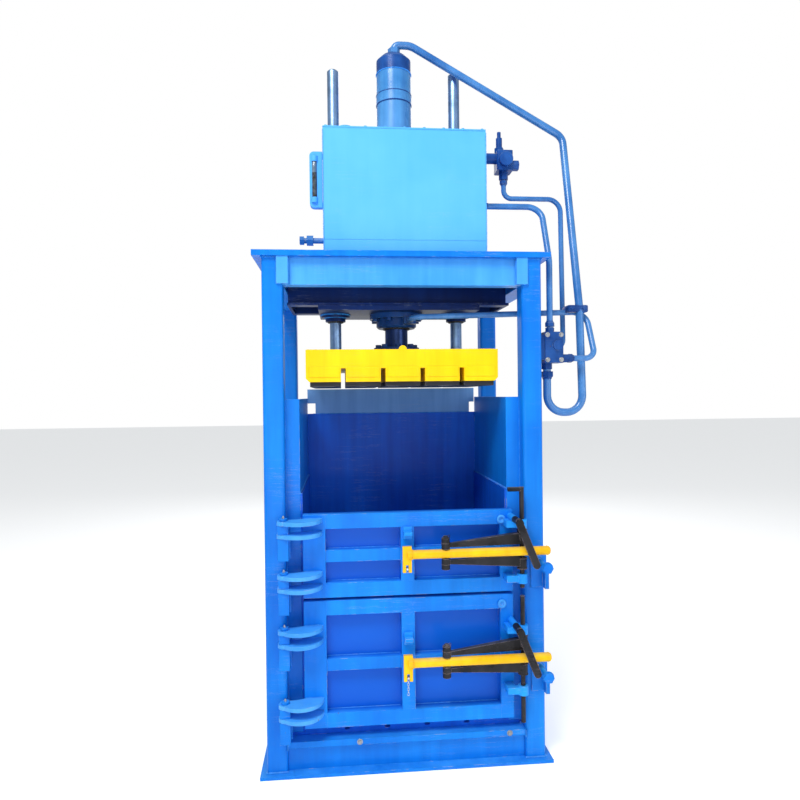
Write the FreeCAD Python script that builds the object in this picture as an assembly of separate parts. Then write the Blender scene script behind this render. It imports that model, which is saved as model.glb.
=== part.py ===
# Vertical recycling baler: a welded steel press frame with a bale chamber, two
# front doors, a hydraulic ram with two guide rods, and an oil tank on top.
#
# Frame of the part: millimetres, +Z up, +Y to the back. The origin is on the
# floor, under the axis of the press cylinder. The doors face -Y.
import FreeCAD, Part
import math
import os

V = FreeCAD.Vector

# ---- driving dimensions: press frame ----
FRAME_HALF_X = 545.0        # outer face of the posts
FRAME_FRONT_Y = -363.0      # front face of the front posts
FRAME_BACK_Y = 460.0        # back face of the rear posts
POST_SIZE = 80.0            # square hollow section
POST_WALL = 5.0
POST_CORNER_R = 12.0
POST_TOP_Z = 1985.0
TOP_PLATE_T = 22.0
TOP_PLATE_OVERHANG_X = 35.0
TOP_PLATE_OVERHANG_Y = 14.0
BASE_PLATE_T = 12.0
BASE_OVERHANG = 24.0
TOP_BEAM_H = 107.0
SHEET_T = 8.0
SILL_TOP_Z = 127.0
SILL_LIP_D = 60.0
SILL_WEB_SET_BACK = 18.0
SILL_FOOT_D = 46.0

# ---- driving dimensions: bale chamber ----
WALL_BAY = 55.0             # side wall to post
CHAMBER_FRONT_Y = -310.0
CHAMBER_BACK_Y = 286.0
CHAMBER_TOP_Z = 1440.0
BACK_WALL_TOP_Z = 1366.0
GUARD_TOP_Z = 1484.0
LINER_TOP_Z = 1072.0
FLOOR_PLATE_T = 12.0
FLOOR_SLAT_T = 26.0
STRAP_SLOT_W = 19.0
STRAP_SLOT_PITCH = 158.5
STRAP_SLOT_COUNT = 4

# ---- driving dimensions: press ram ----
CYL_OD = 152.0
CYL_BORE = 125.0
CYL_CAP_H = 79.0
CYL_RISE = 959.0            # top of the cap above the posts
ROD_D = 100.0
PISTON_L = 60.0
PISTON_TOP_GAP = 20.0
GLAND_FLANGE_D = 235.0
GLAND_FLANGE_T = 22.0
GLAND_BARREL_D = 176.0
GLAND_BARREL_L = 40.0
MOUNT_PLATE_T = 20.0
UNDER_BEAM_H = 178.0
GUIDE_X = 268.0
GUIDE_ROD_D = 50.0
GUIDE_ROD_RISE = 893.0
GUIDE_SLEEVE_DROP = 209.0
PLATEN_DROP = 351.0         # platen top under the post tops, ram up
GUIDE_SLEEVE_D = 88.0
RUN_FIT = 0.05              # radial running clearance
PLATEN_GAP_X = 25.0         # platen to chamber wall
PLATEN_GAP_Y = 20.0
PLATEN_BODY_H = 128.0
SOLE_T = 19.0
SOLE_INSET = 9.0
SLOT_RISE = 54.0
ROD_FLANGE_D = 200.0
ROD_FLANGE_T = 26.0

# ---- driving dimensions: oil tank and drive ----
TANK_X0 = -308.0
TANK_X1 = 342.0
TANK_FRONT_Y = -300.0
TANK_DEPTH = 200.0
TANK_H = 505.0
TANK_LID_T = 6.0
TANK_WALL = 5.0

GAUGE_Y = -210.0
GAUGE_BOTTOM_DROP = 286.0
GAUGE_TOP_DROP = 88.0
GAUGE_REACH = 56.0          # outer side of the gauge from the tank
GAUGE_STAND_OFF = 5.0
MOTOR_Y = 290.0
MOTOR_R = 105.0
MOTOR_X = (-190.0, 130.0)
MOTOR_AXIS_RISE = 127.0
RELIEF_SIDE = 110.0
RELIEF_Y = -150.0
RELIEF_DROP = 72.0

# ---- driving dimensions: control valve and pipes ----
VALVE_SIDE = 20.0           # valve block beyond the post
VALVE_W = 76.0
VALVE_Y = (-340.0, -262.0)
VALVE_H = 124.0
VALVE_DROP = 287.0          # top of the block under the post tops
PIPE_A_R = 16.0
PIPE_B_R = 12.0
PIPE_P_R = 10.5
PIPE_T_R = 12.5
PIPE_A_SIDE = 97.0          # drop of the cylinder pipe beyond the block
CAP_PORT_Y = -30.0

# ---- driving dimensions: doors ----
DOOR_T = 43.0
DOOR_GAP = 3.0              # door back to the chamber mouth
DOOR_HINGE_LAP = 10.0
DOOR_LATCH_LAP = 10.0
DOOR_SKIN_T = 6.0
UPPER_DOOR_Z = (674.0, 995.0)
LOWER_DOOR_Z = (172.0, 662.0)
HINGE_STILE_W = 86.0
LATCH_STILE_W = 51.0
RAIL_H = 56.0
MULLION_W = 52.0
MULLION_X = 3.0
UPPER_MID_RAIL_Z = 833.0
LOWER_MID_RAIL_Z = 413.0
MID_RAIL_H = 46.0
HINGE_PIN_IN = 5.0          # pin axis outside the inner post face
HINGE_PIN_OUT = 30.0        # pin axis in front of the posts
HINGE_PIN_D = 20.0
HINGE_EYE_R = 25.0
HINGE_LEAF_T = 15.0
HINGE_LEAF_GAP = 34.0
HINGE_BLOCK_W = 40.0
HINGE_BLOCK_TAIL = 84.0
UPPER_HINGE_TOPS = (982.0, 779.0)
LOWER_HINGE_TOPS = (571.0, 292.0)
HINGE_PLAY = 0.5            # vertical gap between leaf and block

# ---- driving dimensions: door latches ----
SHAFT_SIDE = 25.0           # shaft axis beyond the door edge
SHAFT_OUT = 44.0            # shaft axis in front of the door
SHAFT_D = 18.0
HANDLE_OUT = 36.0           # handle axis in front of the shaft
HANDLE_D = 34.0
HANDLE_X0 = -6.0
UPPER_HANDLE_Z = 850.0
LOWER_HANDLE_Z = 440.0
CLEVIS_X = 140.0
CLEVIS_PIN_D = 16.0
CLEVIS_HUB_R = 16.0
ARM_ROOT = (21.0, 66.0)     # arm plate above the handle axis, at the shaft
ARM_TIP = (24.0, 38.0)      # and at the clevis
LATCH_BAR_OUT = 48.0        # bar in front of the handle axis
LATCH_BAR_T = 10.0
LATCH_BAR_W = 28.0
LATCH_PIVOT_IN = 9.0        # pivot inside the door edge
LATCH_PIVOT_RISE = 120.0    # pivot above the handle axis
LATCH_BAR_L = 176.0
LATCH_BAR_LEAN = 22.0       # degrees from hanging
LATCH_PIVOT_D = 14.0
STUD_D = 20.0
STUD_HEAD_D = 44.0
STUD_IN = 49.0              # stud beyond the inner post face
STUD_DROP = 52.0            # stud below the handle axis
KEEPER_TOP_DROP = 22.0
KEEPER_BOTTOM_DROP = 160.0



def box(x0, x1, y0, y1, z0, z1):
    return Part.makeBox(x1 - x0, y1 - y0, z1 - z0, V(x0, y0, z0))


def rod(p, d, length, axis=(0, 0, 1)):
    return Part.makeCylinder(d / 2.0, length, V(*p), V(*axis))


def fuse(*shapes):
    joined = shapes[0]
    for shape in shapes[1:]:
        joined = joined.fuse(shape)
    return joined.removeSplitter()


def group(*shapes):
    return Part.makeCompound(list(shapes))


def mirror_x(shape):
    return shape.mirror(V(0, 0, 0), V(1, 0, 0))


def upright_edges(shape):
    return [e for e in shape.Edges
            if abs(abs(e.tangentAt(e.FirstParameter).z) - 1.0) < 1e-6]


def outline(points):
    """Closed face in XY from points; a triple (via, end) tuple makes an arc."""
    edges = []
    last = V(*points[0])
    for item in points[1:]:
        if isinstance(item[0], tuple):
            end = V(*item[1])
            edges.append(Part.Arc(last, V(*item[0]), end).toShape())
        else:
            end = V(*item)
            edges.append(Part.LineSegment(last, end).toShape())
        last = end
    return Part.Face(Part.Wire(edges))


def pipe(points, radius, bends):
    """Round tube through corner points, with a tangent arc of its own radius at each."""
    pts = [V(*p) for p in points]
    edges = []
    start = pts[0]
    for before, corner, after, bend in zip(pts, pts[1:], pts[2:], bends):
        into = (corner - before).normalize()
        out = (after - corner).normalize()
        turn = into.getAngle(out)
        cut = bend * math.tan(turn / 2.0)
        first = corner - into * cut
        last = corner + out * cut
        inward = (out - into).normalize()
        middle = corner + inward * (bend / math.cos(turn / 2.0) - bend)
        edges.append(Part.LineSegment(start, first).toShape())
        edges.append(Part.Arc(first, middle, last).toShape())
        start = last
    edges.append(Part.LineSegment(start, pts[-1]).toShape())
    path = Part.Wire(edges)
    ring = Part.Wire([Part.Circle(pts[0], (pts[1] - pts[0]).normalize(), radius).toShape()])
    return path.makePipeShell([ring], True, False)


def hexagon(p, across, length, axis):
    """Hex bar from p along axis."""
    n = V(*axis)
    side = n.cross(V(0, 0, 1)) if abs(n.z) < 0.9 else V(1, 0, 0)
    side.normalize()
    other = n.cross(side)
    r = across / math.sqrt(3.0)
    corners = []
    for k in range(7):
        a = math.radians(60.0 * k)
        corners.append(V(*p) + side * (r * math.cos(a)) + other * (r * math.sin(a)))
    return Part.Face(Part.makePolygon(corners)).extrude(n * length)


def slot_centres():
    first = -STRAP_SLOT_PITCH * (STRAP_SLOT_COUNT - 1) / 2.0
    return [first + STRAP_SLOT_PITCH * k for k in range(STRAP_SLOT_COUNT)]


# ---- values worked out from the driving dimensions ----
FLOOR_PLATE_Z = SILL_TOP_Z
FRAME_INNER_X = FRAME_HALF_X - POST_SIZE
CHAMBER_HALF_X = FRAME_INNER_X - WALL_BAY
CYL_TOP_Z = POST_TOP_Z + CYL_RISE
GUIDE_ROD_TOP_Z = POST_TOP_Z + GUIDE_ROD_RISE
GUIDE_SLEEVE_BOTTOM_Z = POST_TOP_Z - GUIDE_SLEEVE_DROP
PLATEN_HALF_X = CHAMBER_HALF_X - PLATEN_GAP_X
PLATEN_FRONT_Y = CHAMBER_FRONT_Y + PLATEN_GAP_Y
PLATEN_BACK_Y = CHAMBER_BACK_Y - PLATEN_GAP_Y
PLATEN_TOP_Z = POST_TOP_Z - PLATEN_DROP
DOOR_X0 = -CHAMBER_HALF_X + DOOR_HINGE_LAP
DOOR_X1 = CHAMBER_HALF_X + DOOR_LATCH_LAP
DOOR_BACK_Y = CHAMBER_FRONT_Y - DOOR_GAP
DOOR_FRONT_Y = DOOR_BACK_Y - DOOR_T
HINGE_X = -FRAME_INNER_X - HINGE_PIN_IN
HINGE_Y = FRAME_FRONT_Y - HINGE_PIN_OUT
SHAFT_X = DOOR_X1 + SHAFT_SIDE
SHAFT_Y = DOOR_FRONT_Y - SHAFT_OUT
HANDLE_Y = SHAFT_Y - HANDLE_OUT
HANDLE_X1 = FRAME_HALF_X
LATCH_BAR_Y = HANDLE_Y - LATCH_BAR_OUT
LATCH_PIVOT_X = DOOR_X1 - LATCH_PIVOT_IN
STUD_X = FRAME_INNER_X + STUD_IN
FRONT_POST_BACK_Y = FRAME_FRONT_Y + POST_SIZE
REAR_POST_FRONT_Y = FRAME_BACK_Y - POST_SIZE
TOP_PLATE_TOP_Z = POST_TOP_Z + TOP_PLATE_T
TOP_BEAM_Z0 = POST_TOP_Z - TOP_BEAM_H
MOUNT_PLATE_Z0 = POST_TOP_Z - UNDER_BEAM_H
GLAND_TOP_Z = MOUNT_PLATE_Z0
GLAND_Z0 = GLAND_TOP_Z - GLAND_FLANGE_T - GLAND_BARREL_L
BARREL_TOP_Z = CYL_TOP_Z - CYL_CAP_H
PISTON_TOP_Z = BARREL_TOP_Z - PISTON_TOP_GAP
PLATEN_Z0 = PLATEN_TOP_Z - PLATEN_BODY_H
SOLE_Z0 = PLATEN_Z0 - SOLE_T
SLOT_TOP_Z = PLATEN_Z0 + SLOT_RISE
FLOOR_TOP_Z = FLOOR_PLATE_Z + FLOOR_PLATE_T + FLOOR_SLAT_T
UNDER_BEAM_Y = CYL_OD / 2.0 + 34.0
DOOR_FRAME_BACK_Y = DOOR_BACK_Y - DOOR_SKIN_T
TANK_TOP_Z = TOP_PLATE_TOP_Z + TANK_H
GAUGE_Z = (TANK_TOP_Z - GAUGE_BOTTOM_DROP, TANK_TOP_Z - GAUGE_TOP_DROP)
RELIEF = (TANK_X1 + RELIEF_SIDE, RELIEF_Y, TANK_TOP_Z - RELIEF_DROP)
VALVE_X = (FRAME_HALF_X + VALVE_SIDE, FRAME_HALF_X + VALVE_SIDE + VALVE_W)
VALVE_Z = (POST_TOP_Z - VALVE_DROP - VALVE_H, POST_TOP_Z - VALVE_DROP)
PORT_A = (VALVE_X[0] + 24.0, VALVE_Y[0] + 54.0, VALVE_Z[0])
PORT_B = (VALVE_X[1], VALVE_Y[0] + 18.0, VALVE_Z[0] + 18.0)
PORT_P = (VALVE_X[0] + 40.0, VALVE_Y[1], VALVE_Z[0] + 66.0)
PORT_T = (VALVE_X[0] + 34.0, VALVE_Y[0] + 44.0, VALVE_Z[1])
PIPE_A_X = VALVE_X[1] + PIPE_A_SIDE


# ---- press frame ----
def post(x0, y0):
    outer = box(x0, x0 + POST_SIZE, y0, y0 + POST_SIZE, BASE_PLATE_T, POST_TOP_Z)
    outer = outer.makeFillet(POST_CORNER_R, upright_edges(outer))
    inner = box(x0 + POST_WALL, x0 + POST_SIZE - POST_WALL, y0 + POST_WALL,
                y0 + POST_SIZE - POST_WALL, BASE_PLATE_T, POST_TOP_Z)
    inner = inner.makeFillet(POST_CORNER_R - POST_WALL, upright_edges(inner))
    return outer.cut(inner)


def base_rail_left():
    plate = box(-FRAME_HALF_X - BASE_OVERHANG, -FRAME_INNER_X + BASE_OVERHANG,
                FRAME_FRONT_Y - BASE_OVERHANG, FRAME_BACK_Y + BASE_OVERHANG, 0, BASE_PLATE_T)
    web = box(-FRAME_HALF_X, -FRAME_HALF_X + SHEET_T, FRONT_POST_BACK_Y, REAR_POST_FRONT_Y,
              BASE_PLATE_T, SILL_TOP_Z)
    cap = box(-FRAME_HALF_X, -FRAME_INNER_X, FRONT_POST_BACK_Y, REAR_POST_FRONT_Y,
              SILL_TOP_Z - SHEET_T, SILL_TOP_Z)
    return fuse(plate, web, cap)


def cross_sill(y_face, side):
    """Skirt channel between the posts; side is +1 when its web faces the back."""
    x = FRAME_INNER_X
    drop_h = 24.0
    lip_y = sorted((y_face, y_face + side * SILL_LIP_D))
    lip = box(-x, x, lip_y[0], lip_y[1], SILL_TOP_Z - SHEET_T, SILL_TOP_Z)
    drop_y = sorted((y_face, y_face + side * SHEET_T))
    drop = box(-x, x, drop_y[0], drop_y[1], SILL_TOP_Z - drop_h, SILL_TOP_Z)
    web_face = y_face + side * SILL_WEB_SET_BACK
    web_y = sorted((web_face, web_face + side * SHEET_T))
    web = box(-x, x, web_y[0], web_y[1], BASE_PLATE_T, SILL_TOP_Z)
    foot_x = FRAME_INNER_X - BASE_OVERHANG
    foot_y = sorted((y_face - side * BASE_OVERHANG, y_face + side * SILL_FOOT_D))
    foot = box(-foot_x, foot_x, foot_y[0], foot_y[1], 0, BASE_PLATE_T)
    return fuse(lip, drop, web, foot)


def floor_beam():
    half = 50.0
    y0 = FRAME_FRONT_Y + SILL_LIP_D
    y1 = FRAME_BACK_Y - SILL_LIP_D
    top = box(-half, half, y0, y1, FLOOR_PLATE_Z - SHEET_T, FLOOR_PLATE_Z)
    bottom = box(-half, half, y0, y1, 0, BASE_PLATE_T)
    web = box(-SHEET_T / 2, SHEET_T / 2, y0, y1, BASE_PLATE_T, FLOOR_PLATE_Z - SHEET_T)
    return fuse(top, bottom, web)


def chamber_floor():
    y0 = CHAMBER_FRONT_Y - 2.0
    half = FRAME_INNER_X - 10.0
    plate = box(-half, half, y0, FRAME_BACK_Y - SILL_LIP_D + 6.0, FLOOR_PLATE_Z,
                FLOOR_PLATE_Z + FLOOR_PLATE_T)
    slat_z = FLOOR_PLATE_Z + FLOOR_PLATE_T
    edges = [-CHAMBER_HALF_X + 9.0]
    for x in slot_centres():
        edges += [x - STRAP_SLOT_W / 2, x + STRAP_SLOT_W / 2]
    edges.append(CHAMBER_HALF_X - 9.0)
    slats = [box(a, b, y0, CHAMBER_BACK_Y, slat_z, FLOOR_TOP_Z)
             for a, b in zip(edges[::2], edges[1::2])]
    return fuse(plate, *slats)


def side_wall_left():
    z0 = FLOOR_PLATE_Z + FLOOR_PLATE_T
    x_in = -CHAMBER_HALF_X
    plate = box(x_in - SHEET_T, x_in, CHAMBER_FRONT_Y, CHAMBER_BACK_Y + SHEET_T, z0, CHAMBER_TOP_Z)
    flange = box(-FRAME_INNER_X, x_in, CHAMBER_FRONT_Y, CHAMBER_FRONT_Y + SHEET_T, z0,
                 CHAMBER_TOP_Z)
    parts = [plate, flange]
    rib_h = 64.0
    rib_t = 6.0
    rib_count = 4
    pitch = (CHAMBER_TOP_Z - z0) / rib_count
    for k in range(rib_count):
        z = z0 + pitch * (k + 0.5)
        y0 = CHAMBER_FRONT_Y + SHEET_T
        rib = box(-FRAME_INNER_X, x_in - SHEET_T, y0, CHAMBER_BACK_Y + SHEET_T, z, z + rib_h)
        hollow = box(-FRAME_INNER_X + rib_t, x_in - SHEET_T, y0, CHAMBER_BACK_Y + SHEET_T,
                     z + rib_t, z + rib_h - rib_t)
        parts.append(rib.cut(hollow))
    return fuse(*parts)


def back_wall():
    z0 = FLOOR_PLATE_Z + FLOOR_PLATE_T
    plate = box(-CHAMBER_HALF_X, CHAMBER_HALF_X, CHAMBER_BACK_Y, CHAMBER_BACK_Y + SHEET_T, z0,
                BACK_WALL_TOP_Z)
    parts = [plate]
    rib_w = 64.0
    rib_t = 6.0
    for x in slot_centres():
        rib = box(x - rib_w / 2, x + rib_w / 2, CHAMBER_BACK_Y + SHEET_T, REAR_POST_FRONT_Y, z0,
                  BACK_WALL_TOP_Z - 40.0)
        hollow = box(x - rib_w / 2 + rib_t, x + rib_w / 2 - rib_t, CHAMBER_BACK_Y + SHEET_T,
                     REAR_POST_FRONT_Y - rib_t, z0, BACK_WALL_TOP_Z - 40.0)
        parts.append(rib.cut(hollow))
    ties = box(-FRAME_INNER_X, FRAME_INNER_X, REAR_POST_FRONT_Y, REAR_POST_FRONT_Y + SHEET_T,
               BACK_WALL_TOP_Z - 160.0, BACK_WALL_TOP_Z - 60.0)
    lower_tie = box(-FRAME_INNER_X, FRAME_INNER_X, REAR_POST_FRONT_Y, REAR_POST_FRONT_Y + SHEET_T,
                    FLOOR_TOP_Z + 120.0, FLOOR_TOP_Z + 220.0)
    return fuse(*parts, ties, lower_tie)


def back_guard_plate():
    tab_h = 34.0
    half = CHAMBER_HALF_X - 14.0
    y0 = CHAMBER_BACK_Y
    body = box(-half + 24.0, half - 14.0, y0, y0 + SHEET_T, BACK_WALL_TOP_Z, GUARD_TOP_Z)
    wing = box(-CHAMBER_HALF_X, CHAMBER_HALF_X - 4.0, y0, y0 + SHEET_T, GUARD_TOP_Z - 2 * tab_h,
               GUARD_TOP_Z)
    return fuse(body, wing)


def chamber_liners():
    left = box(-CHAMBER_HALF_X, -CHAMBER_HALF_X + SHEET_T, CHAMBER_FRONT_Y, CHAMBER_BACK_Y,
               FLOOR_PLATE_Z + FLOOR_PLATE_T, LINER_TOP_Z)
    return group(left, mirror_x(left))


def top_plate():
    plate = box(-FRAME_HALF_X - TOP_PLATE_OVERHANG_X, FRAME_HALF_X + TOP_PLATE_OVERHANG_X,
                FRAME_FRONT_Y - TOP_PLATE_OVERHANG_Y, FRAME_BACK_Y + TOP_PLATE_OVERHANG_Y,
                POST_TOP_Z, TOP_PLATE_TOP_Z)
    plate = plate.cut(rod((0, 0, POST_TOP_Z), CYL_OD + 8.0, TOP_PLATE_T))
    for x in (-GUIDE_X, GUIDE_X):
        plate = plate.cut(rod((x, 0, POST_TOP_Z), GUIDE_ROD_D + 10.0, TOP_PLATE_T))
    return plate


def top_beam(y_face, side):
    """Channel between the posts with its web on y_face and welded end cleats."""
    web_y = y_face + side * 12.0
    flange_depth = 52.0
    x = FRAME_INNER_X
    ys = sorted((web_y, web_y + side * flange_depth))
    bar = box(-x, x, ys[0], ys[1], TOP_BEAM_Z0, POST_TOP_Z)
    inner = sorted((web_y + side * SHEET_T, web_y + side * flange_depth))
    bar = bar.cut(box(-x, x, inner[0], inner[1], TOP_BEAM_Z0 + SHEET_T, POST_TOP_Z - SHEET_T))
    cleat_w = 44.0
    cleat_t = 10.0
    parts = [bar]
    for s in (-1, 1):
        cx = sorted((s * (x - 22.0), s * (x - 22.0 + cleat_w)))
        cy = sorted((y_face, y_face - side * cleat_t))
        on_post = box(cx[0], cx[1], cy[0], cy[1], TOP_BEAM_Z0 + 2.0, POST_TOP_Z)
        inner_x = sorted((s * (x - 22.0), s * x))
        block_y = sorted((y_face, web_y))
        parts.append(on_post)
        parts.append(box(inner_x[0], inner_x[1], block_y[0], block_y[1], TOP_BEAM_Z0 + 2.0,
                         POST_TOP_Z))
    return fuse(*parts)


def top_rail_left():
    outer = box(-FRAME_HALF_X, -FRAME_INNER_X, FRONT_POST_BACK_Y, REAR_POST_FRONT_Y, TOP_BEAM_Z0,
                POST_TOP_Z)
    hollow = box(-FRAME_HALF_X + SHEET_T, -FRAME_INNER_X, FRONT_POST_BACK_Y, REAR_POST_FRONT_Y,
                 TOP_BEAM_Z0 + SHEET_T, POST_TOP_Z - SHEET_T)
    return outer.cut(hollow)


def under_beams():
    """Two deep channels across the frame that carry the cylinder."""
    beams = []
    for side in (-1, 1):
        y = side * UNDER_BEAM_Y
        ys = sorted((y, y + side * 58.0))
        bar = box(-FRAME_INNER_X, FRAME_INNER_X, ys[0], ys[1], MOUNT_PLATE_Z0 + MOUNT_PLATE_T,
                  POST_TOP_Z)
        inner = sorted((y + side * SHEET_T, y + side * 58.0))
        beams.append(bar.cut(box(-FRAME_INNER_X, FRAME_INNER_X, inner[0], inner[1],
                                 MOUNT_PLATE_Z0 + MOUNT_PLATE_T + 10.0, POST_TOP_Z - 10.0)))
    return group(*beams)


def mount_plate():
    half_y = UNDER_BEAM_Y + 62.0
    plate = box(-GUIDE_X - 70.0, GUIDE_X + 70.0, -half_y, half_y, MOUNT_PLATE_Z0,
                MOUNT_PLATE_Z0 + MOUNT_PLATE_T)
    plate = plate.cut(rod((0, 0, MOUNT_PLATE_Z0), CYL_OD, MOUNT_PLATE_T))
    for x in (-GUIDE_X, GUIDE_X):
        plate = plate.cut(rod((x, 0, MOUNT_PLATE_Z0), GUIDE_SLEEVE_D, MOUNT_PLATE_T))
    end_h = POST_TOP_Z - MOUNT_PLATE_Z0 - MOUNT_PLATE_T
    ends = []
    for s in (-1, 1):
        xs = sorted((s * FRAME_INNER_X, s * (FRAME_INNER_X - 12.0)))
        ends.append(box(xs[0], xs[1], -UNDER_BEAM_Y, UNDER_BEAM_Y,
                        MOUNT_PLATE_Z0 + MOUNT_PLATE_T, MOUNT_PLATE_Z0 + MOUNT_PLATE_T + end_h))
    return group(plate, *ends)


def guide_sleeve(x):
    length = POST_TOP_Z - GUIDE_SLEEVE_BOTTOM_Z
    body = rod((x, 0, GUIDE_SLEEVE_BOTTOM_Z), GUIDE_SLEEVE_D, length)
    collar = rod((x, 0, MOUNT_PLATE_Z0 - 14.0), GUIDE_SLEEVE_D + 34.0, 14.0)
    bore = rod((x, 0, GUIDE_SLEEVE_BOTTOM_Z), GUIDE_ROD_D + 2 * RUN_FIT, length)
    return fuse(body, collar).cut(bore)


# ---- hydraulic cylinder ----
def cylinder_barrel():
    length = BARREL_TOP_Z - GLAND_TOP_Z
    tube = rod((0, 0, GLAND_TOP_Z), CYL_OD, length)
    band_z = CYL_TOP_Z - 214.0
    band = rod((0, 0, band_z), CYL_OD + 4.0, 42.0)
    return fuse(tube, band).cut(rod((0, 0, GLAND_TOP_Z), CYL_BORE + 2 * RUN_FIT, length))


def cylinder_cap():
    chamfer = 22.0
    body = rod((0, 0, BARREL_TOP_Z), CYL_OD, CYL_CAP_H)
    top = [e for e in body.Edges if e.Closed and abs(e.CenterOfMass.z - CYL_TOP_Z) < 0.01]
    return body.makeChamfer(chamfer, top)


def gland():
    flange_z = GLAND_TOP_Z - GLAND_FLANGE_T
    flange = rod((0, 0, flange_z), GLAND_FLANGE_D, GLAND_FLANGE_T)
    nose = rod((0, 0, GLAND_Z0), GLAND_BARREL_D, GLAND_BARREL_L)
    nose = nose.makeChamfer(8.0, [e for e in nose.Edges
                                  if e.Closed and abs(e.CenterOfMass.z - GLAND_Z0) < 0.01])
    port = box(22.0, 74.0, -GLAND_FLANGE_D / 2 - 12.0, -60.0, flange_z - 30.0, flange_z)
    body = fuse(flange, nose, port)
    return body.cut(rod((0, 0, GLAND_Z0), ROD_D + 2 * RUN_FIT, GLAND_TOP_Z - GLAND_Z0))


def gland_bolts():
    heads = []
    ring_r = GLAND_FLANGE_D / 2 - 15.0
    for k in range(8):
        a = math.radians(22.5 + 45.0 * k)
        p = (ring_r * math.cos(a), ring_r * math.sin(a), GLAND_TOP_Z - GLAND_FLANGE_T - 12.0)
        if abs(p[0] - 48.0) > 40.0 or p[1] > -60.0:
            heads.append(hexagon(p, 20.0, 12.0, (0, 0, 1)))
    return group(*heads)


# ---- ram ----
def piston_rod():
    z0 = PLATEN_TOP_Z + ROD_FLANGE_T
    shaft = rod((0, 0, z0), ROD_D, PISTON_TOP_Z - z0)
    piston = rod((0, 0, PISTON_TOP_Z - PISTON_L), CYL_BORE, PISTON_L)
    return fuse(shaft, piston)


def rod_flange():
    disc = rod((0, 0, PLATEN_TOP_Z), ROD_FLANGE_D, ROD_FLANGE_T)
    parts = [disc]
    for k in range(8):
        a = math.radians(45.0 * k)
        p = (80.0 * math.cos(a), 80.0 * math.sin(a), PLATEN_TOP_Z + ROD_FLANGE_T)
        parts.append(hexagon(p, 22.0, 14.0, (0, 0, 1)))
    return fuse(*parts)


def guide_rod(x):
    body = rod((x, 0, PLATEN_TOP_Z), GUIDE_ROD_D, GUIDE_ROD_TOP_Z - PLATEN_TOP_Z)
    body = body.makeChamfer(6.0, [e for e in body.Edges
                                  if e.Closed and abs(e.CenterOfMass.z - GUIDE_ROD_TOP_Z) < 0.01])
    foot = rod((x, 0, PLATEN_TOP_Z), GUIDE_ROD_D + 56.0, 14.0)
    return fuse(body, foot)


def platen():
    body = box(-PLATEN_HALF_X, PLATEN_HALF_X, PLATEN_FRONT_Y, PLATEN_BACK_Y, PLATEN_Z0,
               PLATEN_TOP_Z)
    corner = 14.0
    edges = [e for e in body.Edges
             if abs(e.CenterOfMass.z - PLATEN_Z0) < 0.01 and abs(e.CenterOfMass.x) > 10.0]
    body = body.makeChamfer(corner, edges)
    for x in slot_centres():
        body = body.cut(box(x - STRAP_SLOT_W / 2, x + STRAP_SLOT_W / 2, PLATEN_FRONT_Y,
                            PLATEN_BACK_Y, PLATEN_Z0, SLOT_TOP_Z))
    rib_t = 12.0
    rib_x = [-PLATEN_HALF_X] + slot_centres() + [PLATEN_HALF_X]
    rows = ((PLATEN_FRONT_Y + rib_t, -ROD_FLANGE_D / 2 - 14.0),
            (ROD_FLANGE_D / 2 + 14.0, PLATEN_BACK_Y - rib_t))
    for a, b in zip(rib_x, rib_x[1:]):
        for y0, y1 in rows:
            body = body.cut(box(a + rib_t, b - rib_t, y0, y1, SLOT_TOP_Z + rib_t, PLATEN_TOP_Z))
    return body


def platen_sole():
    """Wear plate under the platen, in strips between the strap slots."""
    edges = [-PLATEN_HALF_X + 16.0]
    for x in slot_centres():
        edges += [x - STRAP_SLOT_W / 2, x + STRAP_SLOT_W / 2]
    edges.append(PLATEN_HALF_X - 16.0)
    return group(*[box(a, b, PLATEN_FRONT_Y + SOLE_INSET, PLATEN_BACK_Y - SOLE_INSET, SOLE_Z0,
                       PLATEN_Z0) for a, b in zip(edges[::2], edges[1::2])])


# ---- oil tank and drive ----
def oil_tank():
    y1 = TANK_FRONT_Y + TANK_DEPTH
    z0 = TOP_PLATE_TOP_Z
    shell = box(TANK_X0, TANK_X1, TANK_FRONT_Y, y1, z0, TANK_TOP_Z - TANK_LID_T)
    hollow = box(TANK_X0 + TANK_WALL, TANK_X1 - TANK_WALL, TANK_FRONT_Y + TANK_WALL,
                 y1 - TANK_WALL, z0 + TANK_WALL, TANK_TOP_Z - TANK_LID_T)
    return shell.cut(hollow)


def tank_lid():
    y1 = TANK_FRONT_Y + TANK_DEPTH
    lid = box(TANK_X0, TANK_X1, TANK_FRONT_Y, y1, TANK_TOP_Z - TANK_LID_T, TANK_TOP_Z)
    breather = rod((TANK_X0 + 90.0, y1 - 70.0, TANK_TOP_Z), 64.0, 46.0)
    neck = rod((TANK_X0 + 90.0, y1 - 70.0, TANK_TOP_Z - 1.0), 44.0, 20.0)
    return fuse(lid, neck, breather)


def level_gauge():
    """Flat gauge body that stands off the tank's side on two studs."""
    x = TANK_X0
    half_y = 14.0
    end_h = 14.0
    corner = 18.0
    studs = [rod((x, GAUGE_Y, z), 24.0, 20.0, (-1, 0, 0)) for z in GAUGE_Z]
    body = box(x - GAUGE_REACH, x - GAUGE_STAND_OFF, GAUGE_Y - half_y, GAUGE_Y + half_y,
               GAUGE_Z[0] - end_h, GAUGE_Z[1] + end_h)
    outer = [e for e in body.Edges if abs(e.CenterOfMass.x - (x - GAUGE_REACH)) < 0.01
             and abs(e.CenterOfMass.y - GAUGE_Y) < 0.01]
    return fuse(body.makeFillet(corner, outer), *studs)


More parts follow.
